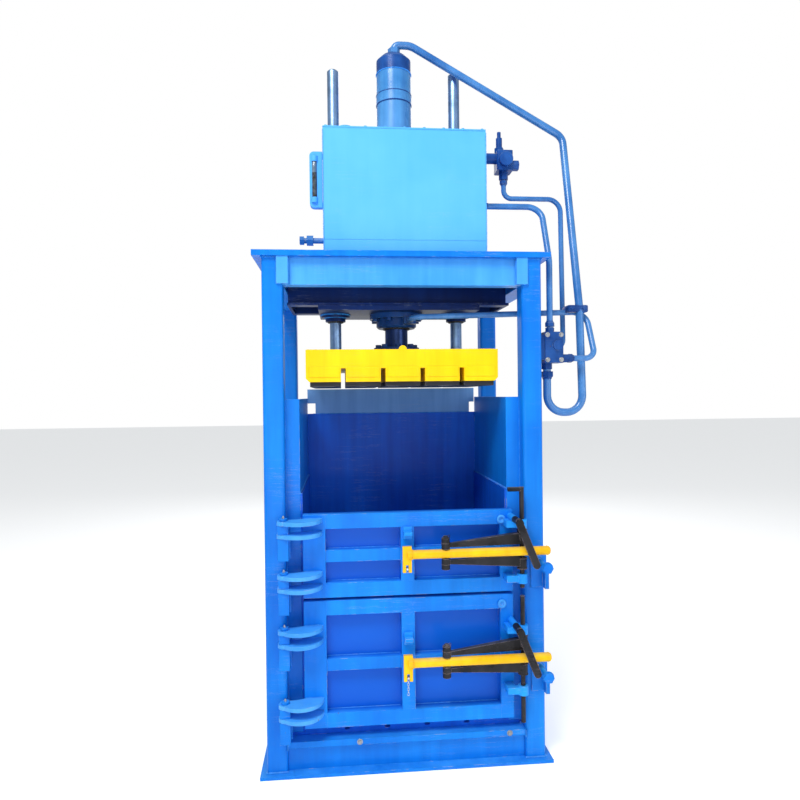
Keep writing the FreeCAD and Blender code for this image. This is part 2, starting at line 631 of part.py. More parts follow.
def drain_valve():
    x = TANK_X0
    y = TANK_FRONT_Y + 40.0
    z = TOP_PLATE_TOP_Z + 62.0
    stem = rod((x, y, z), 22.0, 78.0, (-1, 0, 0))
    body = hexagon((x - 42.0, y, z), 36.0, 26.0, (-1, 0, 0))
    plug = hexagon((x - 78.0, y, z), 30.0, 18.0, (-1, 0, 0))
    return fuse(stem, body, plug)


def motor():
    z = TOP_PLATE_TOP_Z + MOTOR_AXIS_RISE
    x0, x1 = MOTOR_X
    body = rod((x0, MOTOR_Y, z), 2 * MOTOR_R, x1 - x0, (1, 0, 0))
    fins = []
    for k in range(20):
        a = math.radians(18.0 * k)
        fin = box(x0 + 24.0, x1 - 24.0, -2.5, 2.5, MOTOR_R - 4.0, MOTOR_R + 10.0)
        fin.rotate(V(0, 0, 0), V(1, 0, 0), 18.0 * k)
        fin.translate(V(0, MOTOR_Y, z))
        if abs(math.cos(a) + 1.0) > 0.2:
            fins.append(fin)
    cowl = rod((x0 - 60.0, MOTOR_Y, z), 2 * MOTOR_R + 14.0, 60.0, (1, 0, 0))
    foot = box(x0 + 40.0, x1 - 40.0, MOTOR_Y - 90.0, MOTOR_Y + 90.0, TOP_PLATE_TOP_Z,
               TOP_PLATE_TOP_Z + 50.0)
    terminal = box(x0 + 110.0, x1 - 110.0, MOTOR_Y - 45.0, MOTOR_Y + 45.0, z + MOTOR_R - 10.0,
                   z + MOTOR_R + 52.0)
    return fuse(body, cowl, foot, terminal, *fins)


def pump():
    z = TOP_PLATE_TOP_Z + MOTOR_AXIS_RISE
    x = MOTOR_X[1]
    bell = rod((x, MOTOR_Y, z), 150.0, 70.0, (1, 0, 0))
    body = box(x + 70.0, x + 190.0, MOTOR_Y - 46.0, MOTOR_Y + 46.0, z - 56.0, z + 56.0)
    outlet = hexagon((x + 130.0, MOTOR_Y, z + 56.0), 40.0, 24.0, (0, 0, 1))
    return fuse(bell, body, outlet)


def relief_valve():
    x, y, z = RELIEF
    body = box(x - 34.0, x + 34.0, y - 36.0, y + 36.0, z - 46.0, z + 38.0)
    body = body.makeFillet(10.0, upright_edges(body))
    inlet = rod((TANK_X1, y, z + 12.0), 44.0, x - 34.0 - TANK_X1 + 6.0, (1, 0, 0))
    nut = hexagon((TANK_X1, y, z + 12.0), 58.0, 26.0, (1, 0, 0))
    stem = rod((x - 18.0, y, z + 38.0), 26.0, 60.0)
    knob = hexagon((x - 18.0, y, z + 38.0), 34.0, 18.0, (0, 0, 1))
    screw = rod((x - 18.0, y, z + 98.0), 16.0, 26.0)
    cover = rod((x, y - 36.0, z - 4.0), 58.0, 18.0, (0, -1, 0))
    side = hexagon((x + 34.0, y, z - 16.0), 38.0, 30.0, (1, 0, 0))
    socket = hexagon((x, y, z - 78.0), 34.0, 32.0, (0, 0, 1))
    return fuse(body, inlet, nut, stem, knob, screw, cover, side, socket)


def valve_block():
    body = box(VALVE_X[0], VALVE_X[1], VALVE_Y[0], VALVE_Y[1], VALVE_Z[0], VALVE_Z[1])
    body = body.makeFillet(5.0, upright_edges(body))
    bracket = box(FRAME_HALF_X, VALVE_X[0] + 2.0, VALVE_Y[0] + 8.0, VALVE_Y[1] - 8.0,
                  VALVE_Z[0] + 12.0, VALVE_Z[1] - 12.0)
    a_port = hexagon((PORT_A[0], PORT_A[1], VALVE_Z[0] - 24.0), 38.0, 24.0, (0, 0, 1))
    b_port = hexagon((VALVE_X[1], PORT_B[1], PORT_B[2]), 32.0, 22.0, (1, 0, 0))
    p_port = hexagon((PORT_P[0], VALVE_Y[1], PORT_P[2]), 30.0, 20.0, (0, 1, 0))
    t_port = hexagon((PORT_T[0], PORT_T[1], VALVE_Z[1]), 32.0, 20.0, (0, 0, 1))
    cap = rod((VALVE_X[0] + 50.0, VALVE_Y[0], VALVE_Z[0] + 70.0), 40.0, 14.0, (0, -1, 0))
    return fuse(body, bracket, a_port, b_port, p_port, t_port, cap)


def cylinder_top_pipe():
    """Pressure line from the cylinder cap to the bottom port of the valve."""
    y = CAP_PORT_Y
    loop_z = VALVE_Z[0] - 200.0
    elbow_z = CYL_TOP_Z + 40.0
    points = [(0, y, CYL_TOP_Z + 10.0), (0, y, elbow_z), (72.0, y - 4.0, elbow_z - 2.0),
              (PIPE_A_X - 6.0, y - 62.0, CYL_TOP_Z - 369.0),
              (PIPE_A_X, PORT_A[1] + 30.0, VALVE_Z[1] + 114.0),
              (PIPE_A_X, PORT_A[1], loop_z), (PORT_A[0], PORT_A[1], loop_z),
              (PORT_A[0], PORT_A[1], VALVE_Z[0] - 24.0)]
    bends = (22.0, 80.0, 60.0, 90.0, 70.0, 70.0)
    line = pipe(points, PIPE_A_R, bends)
    nut = hexagon((0, y, CYL_TOP_Z), 46.0, 22.0, (0, 0, 1))
    return fuse(line, nut)


def rod_side_pipe():
    """Return-stroke line from the gland to the side port of the valve."""
    y_run = -224.0
    z_run = GLAND_TOP_Z - GLAND_FLANGE_T - 15.0 + 22.0
    z_port = GLAND_TOP_Z - GLAND_FLANGE_T - 15.0
    points = [(48.0, -GLAND_FLANGE_D / 2 - 12.0, z_port), (48.0, y_run, z_port),
              (PIPE_A_X + 40.0, y_run, z_run), (PIPE_A_X + 40.0, PORT_B[1], PORT_B[2]),
              (PORT_B[0] + 22.0, PORT_B[1], PORT_B[2])]
    return pipe(points, PIPE_B_R, (40.0, 60.0, 44.0))


def pump_pipe():
    """Line from the relief valve to the pressure port of the valve."""
    x, y, z = RELIEF
    low_z = z - 156.0
    drop_x = VALVE_X[1] + 52.0
    y_valve = PORT_P[1] + 74.0
    points = [(x, y, z - 78.0), (x, y, low_z), (drop_x + 6.0, y, low_z),
              (drop_x, y_valve, PORT_P[2]), (PORT_P[0], y_valve, PORT_P[2]),
              (PORT_P[0], PORT_P[1] + 20.0, PORT_P[2])]
    return pipe(points, PIPE_P_R, (34.0, 56.0, 40.0, 32.0))


def return_pipe():
    """Line from the top port of the valve back to the tank."""
    y = TANK_FRONT_Y + 104.0
    z = TOP_PLATE_TOP_Z + 229.0
    points = [(TANK_X1, y, z), (PORT_T[0], y, z), (PORT_T[0], PORT_T[1], POST_TOP_Z + 5.0),
              (PORT_T[0], PORT_T[1], VALVE_Z[1] + 20.0)]
    return pipe(points, PIPE_T_R, (62.0, 120.0))


# ---- hinges ----
def hinge_block(z_top):
    """Post side of one hinge: a block between the leaves, one below, and the pin."""
    w = HINGE_BLOCK_W / 2
    eye_z = z_top - HINGE_LEAF_T
    between = box(HINGE_X - w, HINGE_X + w, HINGE_Y - w, FRAME_FRONT_Y,
                  eye_z - HINGE_LEAF_GAP + HINGE_PLAY, eye_z - HINGE_PLAY)
    low_z = eye_z - HINGE_LEAF_GAP - HINGE_LEAF_T
    below = box(HINGE_X - w, HINGE_X + w, HINGE_Y - w, FRAME_FRONT_Y, low_z - HINGE_BLOCK_TAIL,
                low_z - HINGE_PLAY)
    pin_z = low_z - HINGE_BLOCK_TAIL
    pin = rod((HINGE_X, HINGE_Y, pin_z), HINGE_PIN_D, z_top + 9.0 - pin_z)
    head = rod((HINGE_X, HINGE_Y, z_top + HINGE_PLAY), HINGE_PIN_D + 12.0, 9.0)
    return fuse(between, below, pin, head)


def hinge_blocks():
    return group(*[hinge_block(z) for z in UPPER_HINGE_TOPS + LOWER_HINGE_TOPS])


def hinge_leaf(z_top):
    """Bowed hinge leaf from the pin round to the face of the door stile."""
    z = z_top - HINGE_LEAF_T
    r = HINGE_EYE_R
    bow = DOOR_FRONT_Y - 78.0
    far = DOOR_X0 + 74.0
    face = outline([(HINGE_X, HINGE_Y - r, z),
                    ((HINGE_X + 92.0, bow, z), (far, DOOR_FRONT_Y, z)),
                    (DOOR_X0 + 6.0, DOOR_FRONT_Y, z),
                    ((DOOR_X0 - 22.0, DOOR_FRONT_Y - 11.0, z), (HINGE_X, HINGE_Y + r, z)),
                    ((HINGE_X - r, HINGE_Y, z), (HINGE_X, HINGE_Y - r, z))])
    leaf = face.extrude(V(0, 0, HINGE_LEAF_T))
    return leaf.cut(rod((HINGE_X, HINGE_Y, z), HINGE_PIN_D + 2 * RUN_FIT, HINGE_LEAF_T))


def hinge_arms(tops):
    leaves = []
    for z in tops:
        leaves.append(hinge_leaf(z))
        leaves.append(hinge_leaf(z - HINGE_LEAF_T - HINGE_LEAF_GAP))
    return group(*leaves)


# ---- doors ----
def door(z0, z1, mid_z):
    skin = box(DOOR_X0, DOOR_X1, DOOR_FRAME_BACK_Y, DOOR_BACK_Y, z0, z1)
    y0 = DOOR_FRONT_Y
    y1 = DOOR_FRAME_BACK_Y
    bars = [box(DOOR_X0, DOOR_X0 + HINGE_STILE_W, y0, y1, z0, z1),
            box(DOOR_X1 - LATCH_STILE_W, DOOR_X1, y0, y1, z0, z1),
            box(DOOR_X0, DOOR_X1, y0, y1, z1 - RAIL_H, z1),
            box(DOOR_X0, DOOR_X1, y0, y1, z0, z0 + RAIL_H),
            box(MULLION_X - MULLION_W / 2, MULLION_X + MULLION_W / 2, y0, y1, z0, z1),
            box(DOOR_X0, DOOR_X1, y0 + 4.0, y1, mid_z - MID_RAIL_H / 2, mid_z + MID_RAIL_H / 2)]
    return fuse(skin, *bars)


def latch_lugs(handle_z, rise, drop, catch_rise):
    """Door side of the latch: two shaft eyes, the bar's pivot and the handle catch."""
    parts = []
    eye_h = 36.0
    for z in (handle_z + rise, handle_z - drop):
        eye = rod((SHAFT_X, SHAFT_Y, z - eye_h / 2), SHAFT_D + 22.0, eye_h)
        arm = box(DOOR_X1 - 38.0, SHAFT_X, SHAFT_Y - 12.0, SHAFT_Y + 12.0, z - 13.0, z + 13.0)
        root = box(DOOR_X1 - 38.0, DOOR_X1 - 4.0, SHAFT_Y + 12.0, DOOR_FRONT_Y, z - 13.0, z + 13.0)
        lug = fuse(eye, arm, root)
        lug = lug.cut(rod((SHAFT_X, SHAFT_Y, z - eye_h / 2), SHAFT_D + 2 * RUN_FIT, eye_h))
        parts.append(lug)
    pivot_z = handle_z + LATCH_PIVOT_RISE
    front = LATCH_BAR_Y - LATCH_BAR_T / 2
    boss = rod((LATCH_PIVOT_X, DOOR_FRONT_Y, pivot_z), 26.0,
               DOOR_FRONT_Y - (LATCH_BAR_Y + LATCH_BAR_T / 2) - 0.5, (0, -1, 0))
    pin = rod((LATCH_PIVOT_X, DOOR_FRONT_Y, pivot_z), LATCH_PIVOT_D,
              DOOR_FRONT_Y - front + 14.0, (0, -1, 0))
    nut = hexagon((LATCH_PIVOT_X, front - 0.5, pivot_z), 26.0, 12.0, (0, -1, 0))
    parts[0] = fuse(parts[0], boss, pin, nut)
    z = handle_z + catch_rise
    hook = box(MULLION_X - 16.0, MULLION_X + 16.0, DOOR_FRONT_Y - 34.0, DOOR_FRONT_Y, z, z + 14.0)
    cheek = box(MULLION_X - 16.0, MULLION_X + 16.0, DOOR_FRONT_Y - 12.0, DOOR_FRONT_Y, z - 16.0,
                z + 30.0)
    parts.append(fuse(hook, cheek))
    return group(*parts)


def latch_shaft(handle_z, z0, z1, bent_top):
    """Vertical latch shaft with the two arms that carry the handle's clevis."""
    shaft = rod((SHAFT_X, SHAFT_Y, z0), SHAFT_D, z1 - z0)
    parts = [shaft]
    if bent_top:
        parts.append(rod((SHAFT_X, SHAFT_Y, z1 - SHAFT_D / 2), SHAFT_D, 54.0, (-1, 0, 0)))
    half = HANDLE_D / 2
    arm_w = 26.0
    for s in (-1, 1):
        hub_a = handle_z + s * 34.0
        hub_b = handle_z + s * 76.0
        hub = rod((SHAFT_X, SHAFT_Y, min(hub_a, hub_b)), SHAFT_D + 18.0, abs(hub_b - hub_a))
        eye_a = handle_z + s * (half + 1.0)
        eye_b = handle_z + s * 59.0
        eye = rod((CLEVIS_X, HANDLE_Y, min(eye_a, eye_b)), 2 * CLEVIS_HUB_R, abs(eye_b - eye_a))
        near = [(SHAFT_X, SHAFT_Y - arm_w / 2, handle_z + s * ARM_ROOT[0]),
                (SHAFT_X, SHAFT_Y + arm_w / 2, handle_z + s * ARM_ROOT[0]),
                (SHAFT_X, SHAFT_Y + arm_w / 2, handle_z + s * ARM_ROOT[1]),
                (SHAFT_X, SHAFT_Y - arm_w / 2, handle_z + s * ARM_ROOT[1])]
        far = [(CLEVIS_X, HANDLE_Y - 8.0, handle_z + s * ARM_TIP[0]),
               (CLEVIS_X, HANDLE_Y + 8.0, handle_z + s * ARM_TIP[0]),
               (CLEVIS_X, HANDLE_Y + 8.0, handle_z + s * ARM_TIP[1]),
               (CLEVIS_X, HANDLE_Y - 8.0, handle_z + s * ARM_TIP[1])]
        arm = Part.makeLoft([Part.makePolygon([V(*p) for p in near + near[:1]]),
                             Part.makePolygon([V(*p) for p in far + far[:1]])], True, True)
        parts += [hub, eye, arm]
    parts.append(rod((CLEVIS_X, HANDLE_Y, handle_z - 59.0), CLEVIS_PIN_D, 118.0))
    return fuse(*parts)


def handle(handle_z):
    """Long yellow lever tube with its grip plate and the stop stub."""
    tube = rod((HANDLE_X0, HANDLE_Y, handle_z), HANDLE_D, HANDLE_X1 - HANDLE_X0, (1, 0, 0))
    end = [e for e in tube.Edges if e.Closed and abs(e.CenterOfMass.x - HANDLE_X1) < 0.01]
    tube = tube.makeFillet(10.0, end)
    tube = tube.cut(rod((CLEVIS_X, HANDLE_Y, handle_z - HANDLE_D), CLEVIS_PIN_D + 2 * RUN_FIT,
                        2 * HANDLE_D))
    grip = box(HANDLE_X0 - 18.0, HANDLE_X0 + 16.0, HANDLE_Y - 7.0, HANDLE_Y + 7.0,
               handle_z - 66.0, handle_z + 32.0)
    fork = box(HANDLE_X0 - 6.0, HANDLE_X0 + 4.0, HANDLE_Y - 7.0, HANDLE_Y + 7.0, handle_z - 66.0,
               handle_z - 38.0)
    stub_tip = V(SHAFT_X + 42.0, HANDLE_Y - 16.0, handle_z - 28.0)
    stub_root = V(SHAFT_X + 6.0, HANDLE_Y - 6.0, handle_z - 2.0)
    along = stub_tip - stub_root
    stub = Part.makeCylinder(6.5, along.Length, stub_root, along)
    return fuse(tube, grip.cut(fork), stub)


def latch_bar(handle_z):
    """Leaning bar in front of the handle's tail, with a rounded eye at the top."""
    y = LATCH_BAR_Y - LATCH_BAR_T / 2
    w = LATCH_BAR_W / 2
    length = LATCH_BAR_L
    top = V(0, 0, 0)
    blade = box(-w, w, y, y + LATCH_BAR_T, -length, 0)
    eye = rod((0, y, 0), LATCH_BAR_W, LATCH_BAR_T, (0, 1, 0))
    toe = rod((0, y, -length), LATCH_BAR_W, LATCH_BAR_T, (0, 1, 0))
    bar = fuse(blade, eye, toe)
    bar = bar.cut(rod((0, y, 0), LATCH_PIVOT_D + 2 * RUN_FIT, LATCH_BAR_T, (0, 1, 0)))
    bar.rotate(top, V(0, 1, 0), -LATCH_BAR_LEAN)
    bar.translate(V(LATCH_PIVOT_X, 0, handle_z + LATCH_PIVOT_RISE))
    return bar


def keeper(handle_z):
    """Post side of the latch: a plate with a headed stud."""
    stud_z = handle_z - STUD_DROP
    plate_t = 8.0
    y = FRAME_FRONT_Y
    low_z = handle_z - KEEPER_BOTTOM_DROP
    plate = box(STUD_X - 25.0, FRAME_HALF_X + 6.0, y - plate_t, y, low_z, handle_z - KEEPER_TOP_DROP)
    reach = LATCH_BAR_Y - LATCH_BAR_T / 2 - 4.0
    stem = rod((STUD_X, y, stud_z), STUD_D, y - reach, (0, -1, 0))
    washer = rod((STUD_X, reach, stud_z), STUD_HEAD_D, 4.0, (0, -1, 0))
    head = hexagon((STUD_X, reach - 4.0, stud_z), STUD_HEAD_D - 8.0, 10.0, (0, -1, 0))
    root = rod((STUD_X, y, stud_z), STUD_D + 20.0, 30.0, (0, -1, 0))
    ear = box(FRAME_HALF_X - 10.0, FRAME_HALF_X + 6.0, y - 40.0, y - plate_t, low_z, low_z + 64.0)
    return fuse(plate, stem, washer, head, root, ear)


def keepers():
    return group(keeper(UPPER_HANDLE_Z), keeper(LOWER_HANDLE_Z))


def main():
    left_post_x = -FRAME_HALF_X
    right_post_x = FRAME_INNER_X
    left = {"base_rail": base_rail_left(), "side_wall": side_wall_left(),
            "top_rail": top_rail_left()}
    nodes = {
        "front_left_post": post(left_post_x, FRAME_FRONT_Y),
        "front_right_post": post(right_post_x, FRAME_FRONT_Y),
        "rear_left_post": post(left_post_x, REAR_POST_FRONT_Y),
        "rear_right_post": post(right_post_x, REAR_POST_FRONT_Y),
        "front_sill": cross_sill(FRAME_FRONT_Y, 1),
        "rear_sill": cross_sill(FRAME_BACK_Y, -1),
        "floor_beam": floor_beam(),
        "chamber_floor": chamber_floor(),
        "back_wall": back_wall(),
        "back_guard_plate": back_guard_plate(),
        "chamber_liners": chamber_liners(),
        "top_plate": top_plate(),
        "front_top_beam": top_beam(FRAME_FRONT_Y, 1),
        "rear_top_beam": top_beam(FRAME_BACK_Y, -1),
        "cylinder_beams": under_beams(),
        "cylinder_mount_plate": mount_plate(),
        "left_guide_sleeve": guide_sleeve(-GUIDE_X),
        "right_guide_sleeve": guide_sleeve(GUIDE_X),
        "cylinder_barrel": cylinder_barrel(),
        "cylinder_cap": cylinder_cap(),
        "cylinder_gland": gland(),
        "gland_bolts": gland_bolts(),
        "oil_tank": oil_tank(),
        "tank_lid": tank_lid(),
        "level_gauge": level_gauge(),
        "drain_valve": drain_valve(),
        "pump_motor": motor(),
        "oil_pump": pump(),
        "relief_valve": relief_valve(),
        "control_valve": valve_block(),
        "cylinder_top_pipe": cylinder_top_pipe(),
        "rod_side_pipe": rod_side_pipe(),
        "pump_pipe": pump_pipe(),
        "return_pipe": return_pipe(),
        "hinge_blocks": hinge_blocks(),
        "latch_keepers": keepers(),
        "piston_rod": piston_rod(),
        "rod_flange": rod_flange(),
        "left_guide_rod": guide_rod(-GUIDE_X),
        "right_guide_rod": guide_rod(GUIDE_X),
        "platen": platen(),
        "platen_sole": platen_sole(),
        "upper_door": door(*UPPER_DOOR_Z, UPPER_MID_RAIL_Z),
        "lower_door": door(*LOWER_DOOR_Z, LOWER_MID_RAIL_Z),
        "upper_hinge_arms": hinge_arms(UPPER_HINGE_TOPS),
        "lower_hinge_arms": hinge_arms(LOWER_HINGE_TOPS),
        "upper_latch_lugs": latch_lugs(UPPER_HANDLE_Z, 98.0, 114.0, 60.0),
        "lower_latch_lugs": latch_lugs(LOWER_HANDLE_Z, 98.0, 138.0, 60.0),
        "upper_latch_shaft": latch_shaft(UPPER_HANDLE_Z, 700.0, 1091.0, True),
        "lower_latch_shaft": latch_shaft(LOWER_HANDLE_Z, 176.0, 668.0, False),
        "upper_handle": handle(UPPER_HANDLE_Z),
        "lower_handle": handle(LOWER_HANDLE_Z),
        "upper_latch_bar": latch_bar(UPPER_HANDLE_Z),
        "lower_latch_bar": latch_bar(LOWER_HANDLE_Z),
    }
    for name, shape in left.items():
        nodes["left_" + name] = shape
        nodes["right_" + name] = mirror_x(shape)
    os.makedirs("parts", exist_ok=True)
    for name, shape in sorted(nodes.items()):
        shape.exportStep("parts/" + name + ".step")
        print(name, len(shape.Solids), "solids", round(shape.Volume / 1000.0), "cm3", shape.isValid())
    print(len(nodes), "nodes")


main()
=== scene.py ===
# %% [markdown]
# # A vertical recycling baler
# A baler is a tall welded press: a steel frame, a chamber with two doors in front, and a
# hydraulic ram that comes down on the loose material. The moving skeleton of the machine is
# loaded first and never changed. Everything after that is finish: paint, welds, bolts, wear.

# %% Load the frame
import math
import random
import bpy
from mathutils import Matrix, Vector


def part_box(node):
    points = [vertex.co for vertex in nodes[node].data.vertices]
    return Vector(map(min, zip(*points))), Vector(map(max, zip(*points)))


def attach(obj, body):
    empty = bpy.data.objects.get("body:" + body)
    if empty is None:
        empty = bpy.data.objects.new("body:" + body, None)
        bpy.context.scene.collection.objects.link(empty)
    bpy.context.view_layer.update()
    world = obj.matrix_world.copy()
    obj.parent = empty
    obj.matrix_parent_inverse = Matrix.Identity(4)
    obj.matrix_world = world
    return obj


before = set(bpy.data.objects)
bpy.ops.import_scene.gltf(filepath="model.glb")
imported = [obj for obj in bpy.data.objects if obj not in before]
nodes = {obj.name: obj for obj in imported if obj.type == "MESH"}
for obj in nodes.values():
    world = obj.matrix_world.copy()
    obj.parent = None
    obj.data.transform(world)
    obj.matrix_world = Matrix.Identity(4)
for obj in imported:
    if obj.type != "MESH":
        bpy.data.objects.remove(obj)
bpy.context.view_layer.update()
chance = random.Random(7)

# %% [markdown]
# ## Camera, floor and light
# The eye stands close to the machine, a little left of its middle and about half way up, and
# looks slightly to the right with a fairly wide lens. That is why the upper parts look tall.
# Bright even daylight suits the enamel, so the studio is pale all round, with a big soft key
# light from the front left and a weaker one from the right.

# %% Camera
EYE = Vector((-0.2461, -2.7919, 1.4491))
YAW, PITCH, ROLL = math.radians(5.0), math.radians(-0.39), math.radians(-0.63)
LENS_MM = 28.37
SHIFT_X = 0.0042

ahead = Vector((math.sin(YAW) * math.cos(PITCH), math.cos(YAW) * math.cos(PITCH), math.sin(PITCH)))
level = Vector((math.cos(YAW), -math.sin(YAW), 0.0))
upright = level.cross(ahead)
right = level * math.cos(ROLL) + upright * math.sin(ROLL)
up = upright * math.cos(ROLL) - level * math.sin(ROLL)
bpy.ops.object.select_all(action="DESELECT")
bpy.ops.object.camera_add()
camera = bpy.context.object
camera.matrix_world = Matrix.Translation(EYE) @ Matrix((right, up, -ahead)).transposed().to_4x4()
camera.data.lens = LENS_MM
camera.data.shift_x = SHIFT_X
bpy.context.scene.camera = camera
print("camera at", [round(v, 3) for v in EYE])

# %% Floor and lights
FLOOR_SIZE = 60.0
FLOOR_GLOW = 0.38
ROOM_LIGHT = 0.42
SOFT_LIGHTS = {                     # place, aim, size, watts
    "key": ((-1.6, -3.2, 5.6), (0.0, 0.0, 1.2), 1.8, 225.0),
    "fill": ((3.6, -3.6, 2.4), (0.2, 0.0, 1.3), 3.0, 60.0),
    "low": ((-0.4, -4.6, 0.9), (0.0, 0.0, 0.9), 2.4, 30.0),
    "back": ((0.5, 4.5, 4.2), (0.0, 0.0, 1.6), 4.0, 90.0)}

bpy.ops.mesh.primitive_plane_add(size=FLOOR_SIZE)
floor = bpy.context.object
floor.name = "studio_floor"
paper = bpy.data.materials.new("studio_paper")
paper.use_nodes = True
grain = paper.node_tree.nodes.new("ShaderNodeTexNoise")
grain.inputs["Scale"].default_value = 400.0
tone = paper.node_tree.nodes.new("ShaderNodeValToRGB")
tone.color_ramp.elements[0].color = (0.93, 0.935, 0.94, 1.0)
tone.color_ramp.elements[1].color = (0.97, 0.97, 0.97, 1.0)
sheet = paper.node_tree.nodes["Principled BSDF"]
paper.node_tree.links.new(grain.outputs[0], tone.inputs["Fac"])
paper.node_tree.links.new(tone.outputs["Color"], sheet.inputs["Base Color"])
sheet.inputs["Roughness"].default_value = 0.8
sheet.inputs["Emission Color"].default_value = (1.0, 1.0, 1.0, 1.0)
sheet.inputs["Emission Strength"].default_value = FLOOR_GLOW
floor.data.materials.append(paper)
for light_name, (place, aim, size, watts) in SOFT_LIGHTS.items():
    bpy.ops.object.light_add(type="AREA", location=place)
    lamp = bpy.context.object
    lamp.name = light_name + "_light"
    lamp.data.size = size
    lamp.data.energy = watts
    lamp.rotation_euler = (Vector(aim) - Vector(place)).to_track_quat("-Z", "Y").to_euler()
world = bpy.data.worlds.new("pale_room")
world.use_nodes = True
sky_tree = world.node_tree
room = sky_tree.nodes["Background"]
room.inputs["Color"].default_value = (0.93, 0.97, 1.0, 1.0)
room.inputs["Strength"].default_value = ROOM_LIGHT
backdrop = sky_tree.nodes.new("ShaderNodeBackground")
backdrop.inputs["Color"].default_value = (1.0, 1.0, 1.0, 1.0)
backdrop.inputs["Strength"].default_value = 1.0
seen = sky_tree.nodes.new("ShaderNodeLightPath")
choose = sky_tree.nodes.new("ShaderNodeMixShader")
sky_tree.links.new(seen.outputs["Is Camera Ray"], choose.inputs["Fac"])
sky_tree.links.new(room.outputs[0], choose.inputs[1])
sky_tree.links.new(backdrop.outputs[0], choose.inputs[2])
sky_tree.links.new(choose.outputs[0], sky_tree.nodes["World Output"].inputs["Surface"])
bpy.context.scene.world = world
bpy.context.scene.view_settings.view_transform = "Standard"
print("floor, room and", len(SOFT_LIGHTS), "soft lights")

# %% [markdown]
# ## Shared effects
# Old paint looks the same everywhere for the same reasons: it thins and chips on edges, it
# lies in a soft orange peel, it runs down a little before it sets, and dust settles on what
# faces up. Each effect is one node group that puts out masks, heights or normals, so each
# material can take them with its own values. The bevel trick gives every sharp steel edge a
# small rounded highlight with no change to the mesh, and the same edge line paints a pale
# highlight colour along the edges. On the bright blues the mask of what faces up paints a
# paler blue as painted top light instead of dust.

# %% Node helpers
def add_node(tree, kind, **settings):
    made = tree.nodes.new(kind)
    for key, value in settings.items():
        setattr(made, key, value)
    return made


def set_inputs(made, **values):
    for key, value in values.items():
        made.inputs[key.replace("_", " ")].default_value = value
    return made


def maths(tree, operation, a, b=None, clamp=False):
    made = add_node(tree, "ShaderNodeMath", operation=operation, use_clamp=clamp)
    for socket, value in zip(made.inputs, (a, b)):
        if value is None:
            continue
        if isinstance(value, (int, float)):
            socket.default_value = value
        else:
            tree.links.new(value, socket)
    return made.outputs[0]


def noise(tree, vector, scale, detail=3.0, roughness=0.5):
    made = add_node(tree, "ShaderNodeTexNoise")
    made.inputs["Detail"].default_value = detail
    made.inputs["Roughness"].default_value = roughness
    if isinstance(scale, (int, float)):
        made.inputs["Scale"].default_value = scale
    else:
        tree.links.new(scale, made.inputs["Scale"])
    tree.links.new(vector, made.inputs["Vector"])
    return made.outputs[0]


def stretch(tree, vector, scale):
    made = add_node(tree, "ShaderNodeMapping")
    made.inputs["Scale"].default_value = scale
    tree.links.new(vector, made.inputs["Vector"])
    return made.outputs[0]


def ramp(tree, value, low, high, out_low=0.0, out_high=1.0):
    made = add_node(tree, "ShaderNodeMapRange", clamp=True)
    for socket, setting in zip(made.inputs[1:5], (low, high, out_low, out_high)):
        socket.default_value = setting
    tree.links.new(value, made.inputs[0])
    return made.outputs[0]


def blend_colour(tree, factor, a, b):
    made = add_node(tree, "ShaderNodeMix", data_type="RGBA", clamp_factor=True)
    for socket, value in zip((made.inputs[0], made.inputs[6], made.inputs[7]), (factor, a, b)):
        if isinstance(value, (int, float)):
            socket.default_value = value
        elif isinstance(value, tuple):
            socket.default_value = (*value, 1.0)
        else:
            tree.links.new(value, socket)
    return made.outputs[2]


def new_group(name, inputs, outputs):
    tree = bpy.data.node_groups.new(name, "ShaderNodeTree")
    for label, value in inputs.items():
        socket = tree.interface.new_socket(name=label, in_out="INPUT", socket_type="NodeSocketFloat")
        socket.default_value = value
    for label, kind in outputs.items():
        tree.interface.new_socket(name=label, in_out="OUTPUT", socket_type="NodeSocket" + kind)
    into = tree.nodes.new("NodeGroupInput")
    out = tree.nodes.new("NodeGroupOutput")
    return tree, into, out


def use_group(tree, group, **values):
    made = add_node(tree, "ShaderNodeGroup", node_tree=group)
    return set_inputs(made, **values)


# %% Group: worn edges, and the edge line for the painted edge highlight
edge_wear_and_highlight, into, out = new_group(
    "edge_wear_and_highlight", {"Radius": 0.004, "Patch Scale": 14.0, "Amount": 0.5},
    {"Mask": "Float", "Line": "Float", "Normal": "Vector"})
coords = add_node(edge_wear_and_highlight, "ShaderNodeTexCoord").outputs["Object"]
soft_edge = add_node(edge_wear_and_highlight, "ShaderNodeBevel", samples=4)
edge_wear_and_highlight.links.new(into.outputs["Radius"], soft_edge.inputs["Radius"])
plain = add_node(edge_wear_and_highlight, "ShaderNodeNewGeometry").outputs["Normal"]
facing = add_node(edge_wear_and_highlight, "ShaderNodeVectorMath", operation="DOT_PRODUCT")
edge_wear_and_highlight.links.new(soft_edge.outputs[0], facing.inputs[0])
edge_wear_and_highlight.links.new(plain, facing.inputs[1])
edge_line = ramp(edge_wear_and_highlight, maths(edge_wear_and_highlight, "SUBTRACT", 1.0, facing.outputs["Value"]), 0.004, 0.09)
patches = noise(edge_wear_and_highlight, coords, into.outputs["Patch Scale"], 6.0, 0.65)
worn = maths(edge_wear_and_highlight, "ADD", patches, maths(edge_wear_and_highlight, "SUBTRACT", into.outputs["Amount"], 1.0))
worn = ramp(edge_wear_and_highlight, worn, 0.0, 0.06)
edge_wear_and_highlight.links.new(maths(edge_wear_and_highlight, "MULTIPLY", edge_line, worn), out.inputs["Mask"])
edge_wear_and_highlight.links.new(edge_line, out.inputs["Line"])
edge_wear_and_highlight.links.new(soft_edge.outputs[0], out.inputs["Normal"])
print("group", edge_wear_and_highlight.name, "with", len(edge_wear_and_highlight.nodes), "nodes")

